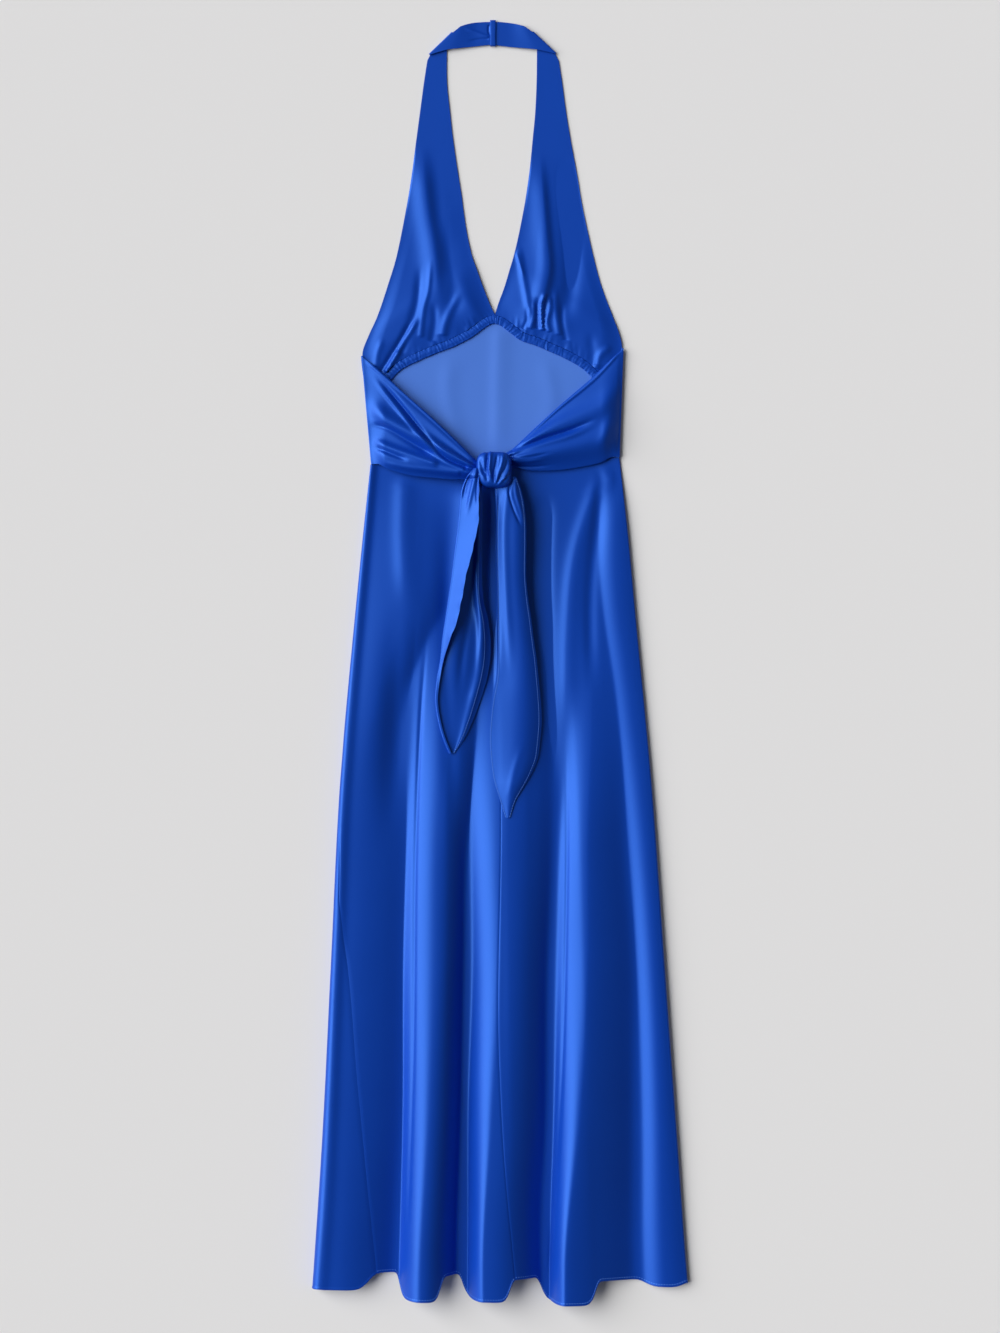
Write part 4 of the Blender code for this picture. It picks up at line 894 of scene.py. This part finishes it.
# The knot: wrapped cloth, squared, with folds that sweep down to the left.
knot = dict(
    centre=(-8, 239, 18), half=(22, 22.5, 14), square=3.8, cornerCut=5, wall=0.4,
    cut=dict(flat=(0.06, 0.1), area=0.0056, held="gathered"),
    folds=[
        (-3, 2, 1.4, 0.1, 0.2, [(-15, 264.4), (-16.2, 253.1), (-17.5, 240.6), (-15.6, 228.1)]),
        (2.2, 1.6, 2.4, 0.1, 0.2, [(-12.5, 264.4), (-13.1, 250.6), (-13.8, 238.1), (-10.6, 225.6)]),
        (-1.8, 2, 1.6, 0.3, 0.1, [(-3.1, 263.1), (-5, 248.1), (-8.1, 233.1), (-7.5, 220.6)]),
        (1.6, 1.6, 2, 0.2, 0.1, [(3.1, 263.1), (1.9, 248.1), (-3.1, 233.1), (-6.2, 220.6)]),
        (-1.5, 1.4, 1.4, 0.2, 0.1, [(9.4, 255.6), (6.9, 243.1), (0.6, 230.6), (-5.6, 219.4)]),
        (1.4, 1.4, 1.6, 0.2, 0.1, [(11.9, 248.1), (9.4, 236.9), (3.1, 226.9), (-4.4, 219.4)]),
        (-1.2, 1.2, 1.4, 0.2, 0.1, [(13.8, 238.1), (9.4, 229.4), (1.9, 223.1)]),
        (-2.2, 2, 2.6, 0.3, 0.2, [(-26.9, 255.6), (-23.1, 243.1), (-20, 230.6)]),
        (-2, 2, 2, 0.3, 0.2, [(-28.1, 240.6), (-20.6, 235.6), (-15.6, 223.1)]),
    ],
)


def makeKnot():
    deselect()
    bpy.ops.mesh.primitive_uv_sphere_add(segments=112, ring_count=72, radius=1.0)
    piece = bpy.context.object
    piece.name = piece.data.name = "knot_satin"
    piece.data.uv_layers[0].name = "weave"
    co = np.empty(len(piece.data.vertices) * 3)
    piece.data.vertices.foreach_get("co", co)
    co = co.reshape(-1, 3)
    co *= ((np.abs(co) ** knot["square"]).sum(axis=1) ** (-1 / knot["square"]))[:, None]
    place = co * knot["half"] + knot["centre"]
    # the lower left corner is drawn in
    place[:, 0] += knot["cornerCut"] * np.maximum(-co[:, 0], 0) * np.maximum(-co[:, 1], 0)
    top = smoothStep(co[:, 2] / 0.35)
    dents = softRidges(place[:, 0], place[:, 1], knot["folds"]) * top
    place += co / np.linalg.norm(co, axis=1, keepdims=True) * dents[:, None] * np.array([0.3, 0.3, 1.0])
    piece.data.vertices.foreach_set("co", (place * mm).ravel())
    uv = np.empty(len(piece.data.loops) * 2)
    piece.data.uv_layers[0].data.foreach_get("uv", uv)
    piece.data.uv_layers[0].data.foreach_set("uv", (uv.reshape(-1, 2) * (140, 70)).ravel())
    piece.data.update()
    return piece


finishCloth(makeKnot(), "knot",
            wall=knot["wall"], inward=True)
print("knot is ready")

# The tails: rows are (y, left, right) from the tip up. The left one is folded over lengthwise, and its
# rows say how wide the flap is.
tails = dict(
    left=[(-113.1, -64.6, -57.6, 2.2), (-103.1, -69, -50.5, 2.4), (-96.9, -71.5, -46.5, 2.4),
          (-71.9, -78.5, -34.4, 2.4), (-46.9, -81.9, -25, 2.5), (-21.9, -80, -17.5, 3),
          (3.1, -75.6, -13.1, 3.5), (28.1, -73.1, -12.5, 9), (53.1, -69.4, -15.6, 14.5),
          (78.1, -65.6, -21.3, 16.2), (103.1, -61.9, -23.1, 17), (128.1, -58.8, -23.1, 20),
          (153.1, -55.6, -23.1, 23), (178.1, -52.5, -22.5, 24), (203.1, -50.4, -22.5, 22),
          (218.1, -48, -23, 20), (230, -42.5, -23, 15), (241, -33.5, -20, 9)],
    right=[(-193.1, 6.5, 11.5), (-171.9, -0.6, 18.8), (-146.9, -9.4, 33.8), (-121.9, -13.8, 45.6),
           (-96.9, -15.6, 49.4), (-71.9, -14.4, 51.3), (-46.9, -11.3, 50), (-21.9, -6, 47.5),
           (3.1, -4.4, 45), (28.1, -4.4, 41.3), (53.1, -5, 38.1), (78.1, -5, 34.4), (103.1, -5, 31.9),
           (153.1, -5.6, 31.9), (178.1, -5.6, 31.3), (203.1, -6.3, 28.1), (215.6, -6.9, 25),
           (230.6, -5, 19.4)],
    foldRadius=1.6, rows=190, flapColumns=30, foldRows=12, insideColumns=42, rightColumns=61, clear=0.45,
    riseFrom=-70,
    # how high the flap's free edge and the right tail stand over what they lie on, up the tails
    flapLift=[(-113.1, 0), (-25, 0.6), (15, 3), (60, 6.5), (128, 10), (180, 10), (218, 8), (241, 4)],
    rightLift=[(-193.1, 0), (-100, 0.6), (-30, 3.5), (60, 6), (150, 4.5), (230.6, 1)],
    # the left tail's folded edge stands up, and its inside slopes down from there to a lip at the far edge
    foldLift=[(-113.1, 0.2), (-97, 0.6), (-50, 2.4), (-15, 5.5), (60, 9), (150, 7), (200, 4), (241, 0.6)],
    lip=3.6, lipAt=0.84, lipHalf=0.12, arch=4.5, archPeak=1.5, ruffle=0.5,
    cuts=dict(left=dict(flat=(0.09, 0.36), area=0.02, held="folded"),
              right=dict(flat=(0.07, 0.43), area=0.019, held="hung")),
    creases=dict(
        left=[
            (2, 2, 3, 0.05, 0.4, [(-29.4, 243.1), (-33.1, 225.6), (-38.1, 203.1), (-43.1, 178.1)]),
            (-2, 2.4, 2.4, 0.1, 0.4, [(-38.1, 233.1), (-43.1, 218.1), (-46.2, 200.6)]),
            (-1.4, 1.6, 2, 0.1, 0.4, [(-26.9, 240.6), (-28.8, 220.6), (-29.4, 190.6)]),
        ],
        inside=[
            (2.4, 4, 5, 0.3, 0.4, [(-30.6, 115.6), (-25.6, 65.6), (-24.4, 28.1), (-29.4, -21.9)]),
            (-1.6, 5, 5, 0.3, 0.4, [(-38.1, 103.1), (-40.6, 53.1), (-48.1, 3.1), (-53.1, -46.9)]),
        ],
        right=[
            (1.8, 4, 6, 0.05, 0.4, [(8.8, 218.1), (4.4, 165.6), (6.9, 78.1), (14.4, -21.9)]),
            (-1.6, 1.4, 1.8, 0.05, 0.2, [(15, 230.6), (10.6, 210.6), (16.9, 188.1), (26.9, 166.9)]),
            (1.2, 2.4, 2.4, 0.05, 0.2, [(19.4, 230.6), (19.4, 210.6), (25.6, 188.1), (29.4, 170.6)]),
            (-1, 1.8, 2.4, 0.1, 0.3, [(-1.9, 215.6), (-3.1, 153.1), (-1.9, 53.1), (-1.9, -21.9)]),
            (0.5, 4, 4, 0.4, 0.2, [(29.4, -96.9), (16.9, -134.4), (9.4, -171.9)]),
        ]),
)
tailFloor = heightMap(("skirt_front_left", "skirt_front_right", "band_left", "band_right"),
                      (-95, 65), (-205, 262), reach=4, blur=8)


def tailHeight(x, y, topY):
    resting = tailFloor(x, y) + cloth["wall"]
    rise = smoothStep((y - tails["riseFrom"]) / (topY - tails["riseFrom"]))
    return np.maximum(resting, mix(resting, knot["centre"][2], rise))


def tailStations(table):
    return mix(table[0][0], table[-1][0], (1 - np.cos(np.linspace(0, math.pi, tails["rows"] + 1))) / 2)


def makeLeftTail():
    table = np.array(tails["left"])
    top = table[-1][0]
    radius = tails["foldRadius"]
    turns = np.linspace(0, math.pi, tails["foldRows"])
    shares = np.linspace(0, 1, tails["insideColumns"])[1:]
    rows = []
    for y in tailStations(table):
        left, right, flap = (valueAt(table, y, k) for k in (1, 2, 3))
        middle = left + radius + floorCloth
        wavy = float(smoothStep((flap - 6) / 6))
        ruffle = tails["ruffle"] * math.sin(y / 4.1) * math.sin(y / 11.0 + 1.0) * wavy
        flapEnd = min(left + flap + radius + ruffle, right - 0.5)
        raised = valueAt(tails["foldLift"], y)
        # the flap, from its free edge to the fold
        x = mix(middle, flapEnd, np.linspace(1, 0, tails["flapColumns"])[:-1])
        over = tailHeight(x, y, top) + 2 * radius + raised
        over = over + valueAt(tails["flapLift"], y) * np.maximum(0, (x - middle) / (flapEnd - middle)) ** 1.15
        over = over + softRidges(x, y, tails["creases"]["left"])
        over = over + tails["ruffle"] * math.sin(y / 3.7 + 0.6) * smoothStep((x - flapEnd + 5) / 5) * wavy
        # the fold and the inside
        lowest = float(tailHeight(middle, y, top)) + raised
        under = mix(middle, right, shares)
        below = tailHeight(under, y, top) + softRidges(under, y, tails["creases"]["inside"])
        below = below + raised * (1 - smoothStep(shares / (tails["lipAt"] - 0.1)))
        below = below + min(1.0, raised / 3) * tails["lip"] * bump(shares - tails["lipAt"], tails["lipHalf"])
        rows.append(np.vstack([
            pointsAt(x, y, over),
            pointsAt(middle - radius * np.sin(turns), y, lowest + radius * (1 + np.cos(turns))),
            pointsAt(under, y, np.maximum(below, tailFloor(under, y) + tails["clear"]))]))
    return np.array(rows)[:, ::-1]


def makeRightTail():
    table = np.array(tails["right"])
    rows = []
    shares = np.linspace(0, 1, tails["rightColumns"])
    for y in tailStations(table):
        left, right = (valueAt(table, y, k) for k in (1, 2))
        x = mix(left, right, shares)
        arch = tails["arch"] * np.sin(math.pi * shares ** tails["archPeak"]) * min(1.0, (right - left) / 40)
        z = tailHeight(x, y, table[-1][0]) + arch + valueAt(tails["rightLift"], y)
        z = z + softRidges(x, y, tails["creases"]["right"])
        rows.append(pointsAt(x, y, np.maximum(z, tailFloor(x, y) + tails["clear"])))
    return np.array(rows)


for side, rows in (("left", makeLeftTail()), ("right", makeRightTail())):
    sewn["tail_" + side] = rows
    piece = layGrid("tail_" + side + "_satin", rows)
    finishCloth(piece, "tail_" + side)
print("tails are ready")

# Stitches: short floats of thread in rows along the casings, the tails' edges and the hem.
stitching = dict(
    thread=0.32, long=2.1, step=3.3, stand=0.42,
    lines=dict(
        tail_left=[("tail_left", "column", 5)],
        tail_right=[("tail_right", "column", 3), ("tail_right", "column", -4)],
        casings=[("casing_left", "column", 4), ("casing_left", "column", 11), ("casing_right", "column", 17),
                 ("casing_right", "column", 24)],
        hem=[("skirt_front_left", "row", 4), ("skirt_front_right", "row", 4)]),
)


def sewLine(curve, points):
    along = distances(points)
    for start in np.arange(1.0, along[-1] - stitching["long"], stitching["step"]):
        stops = start + stitching["long"] * np.array([0.0, 0.25, 0.75, 1.0])
        spots = np.stack([np.interp(stops, along, values) for values in points.T], axis=1)
        spots[:, 2] += stitching["stand"] + stitching["thread"] * np.array([-1.5, 0.4, 0.4, -1.5])
        stitch = curve.splines.new("POLY")
        stitch.points.add(3)
        stitch.points.foreach_set("co", np.column_stack([spots * mm, np.ones(4)]).ravel())


for name, lines in stitching["lines"].items():
    curve = bpy.data.curves.new(name + "_stitches", "CURVE")
    curve.dimensions = "3D"
    curve.bevel_depth = stitching["thread"] * mm
    curve.bevel_resolution = 1
    curve.use_fill_caps = True
    for source, way, k in lines:
        sewLine(curve, sewn[source][:, k] if way == "column" else sewn[source][k])
    only(addObject(name + "_stitches", curve))
    bpy.ops.object.convert(target="MESH")
    piece = bpy.context.object
    piece.data.materials.append(thread)
    bpy.ops.object.shade_smooth()
    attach(piece, "root")
print("stitches are ready")
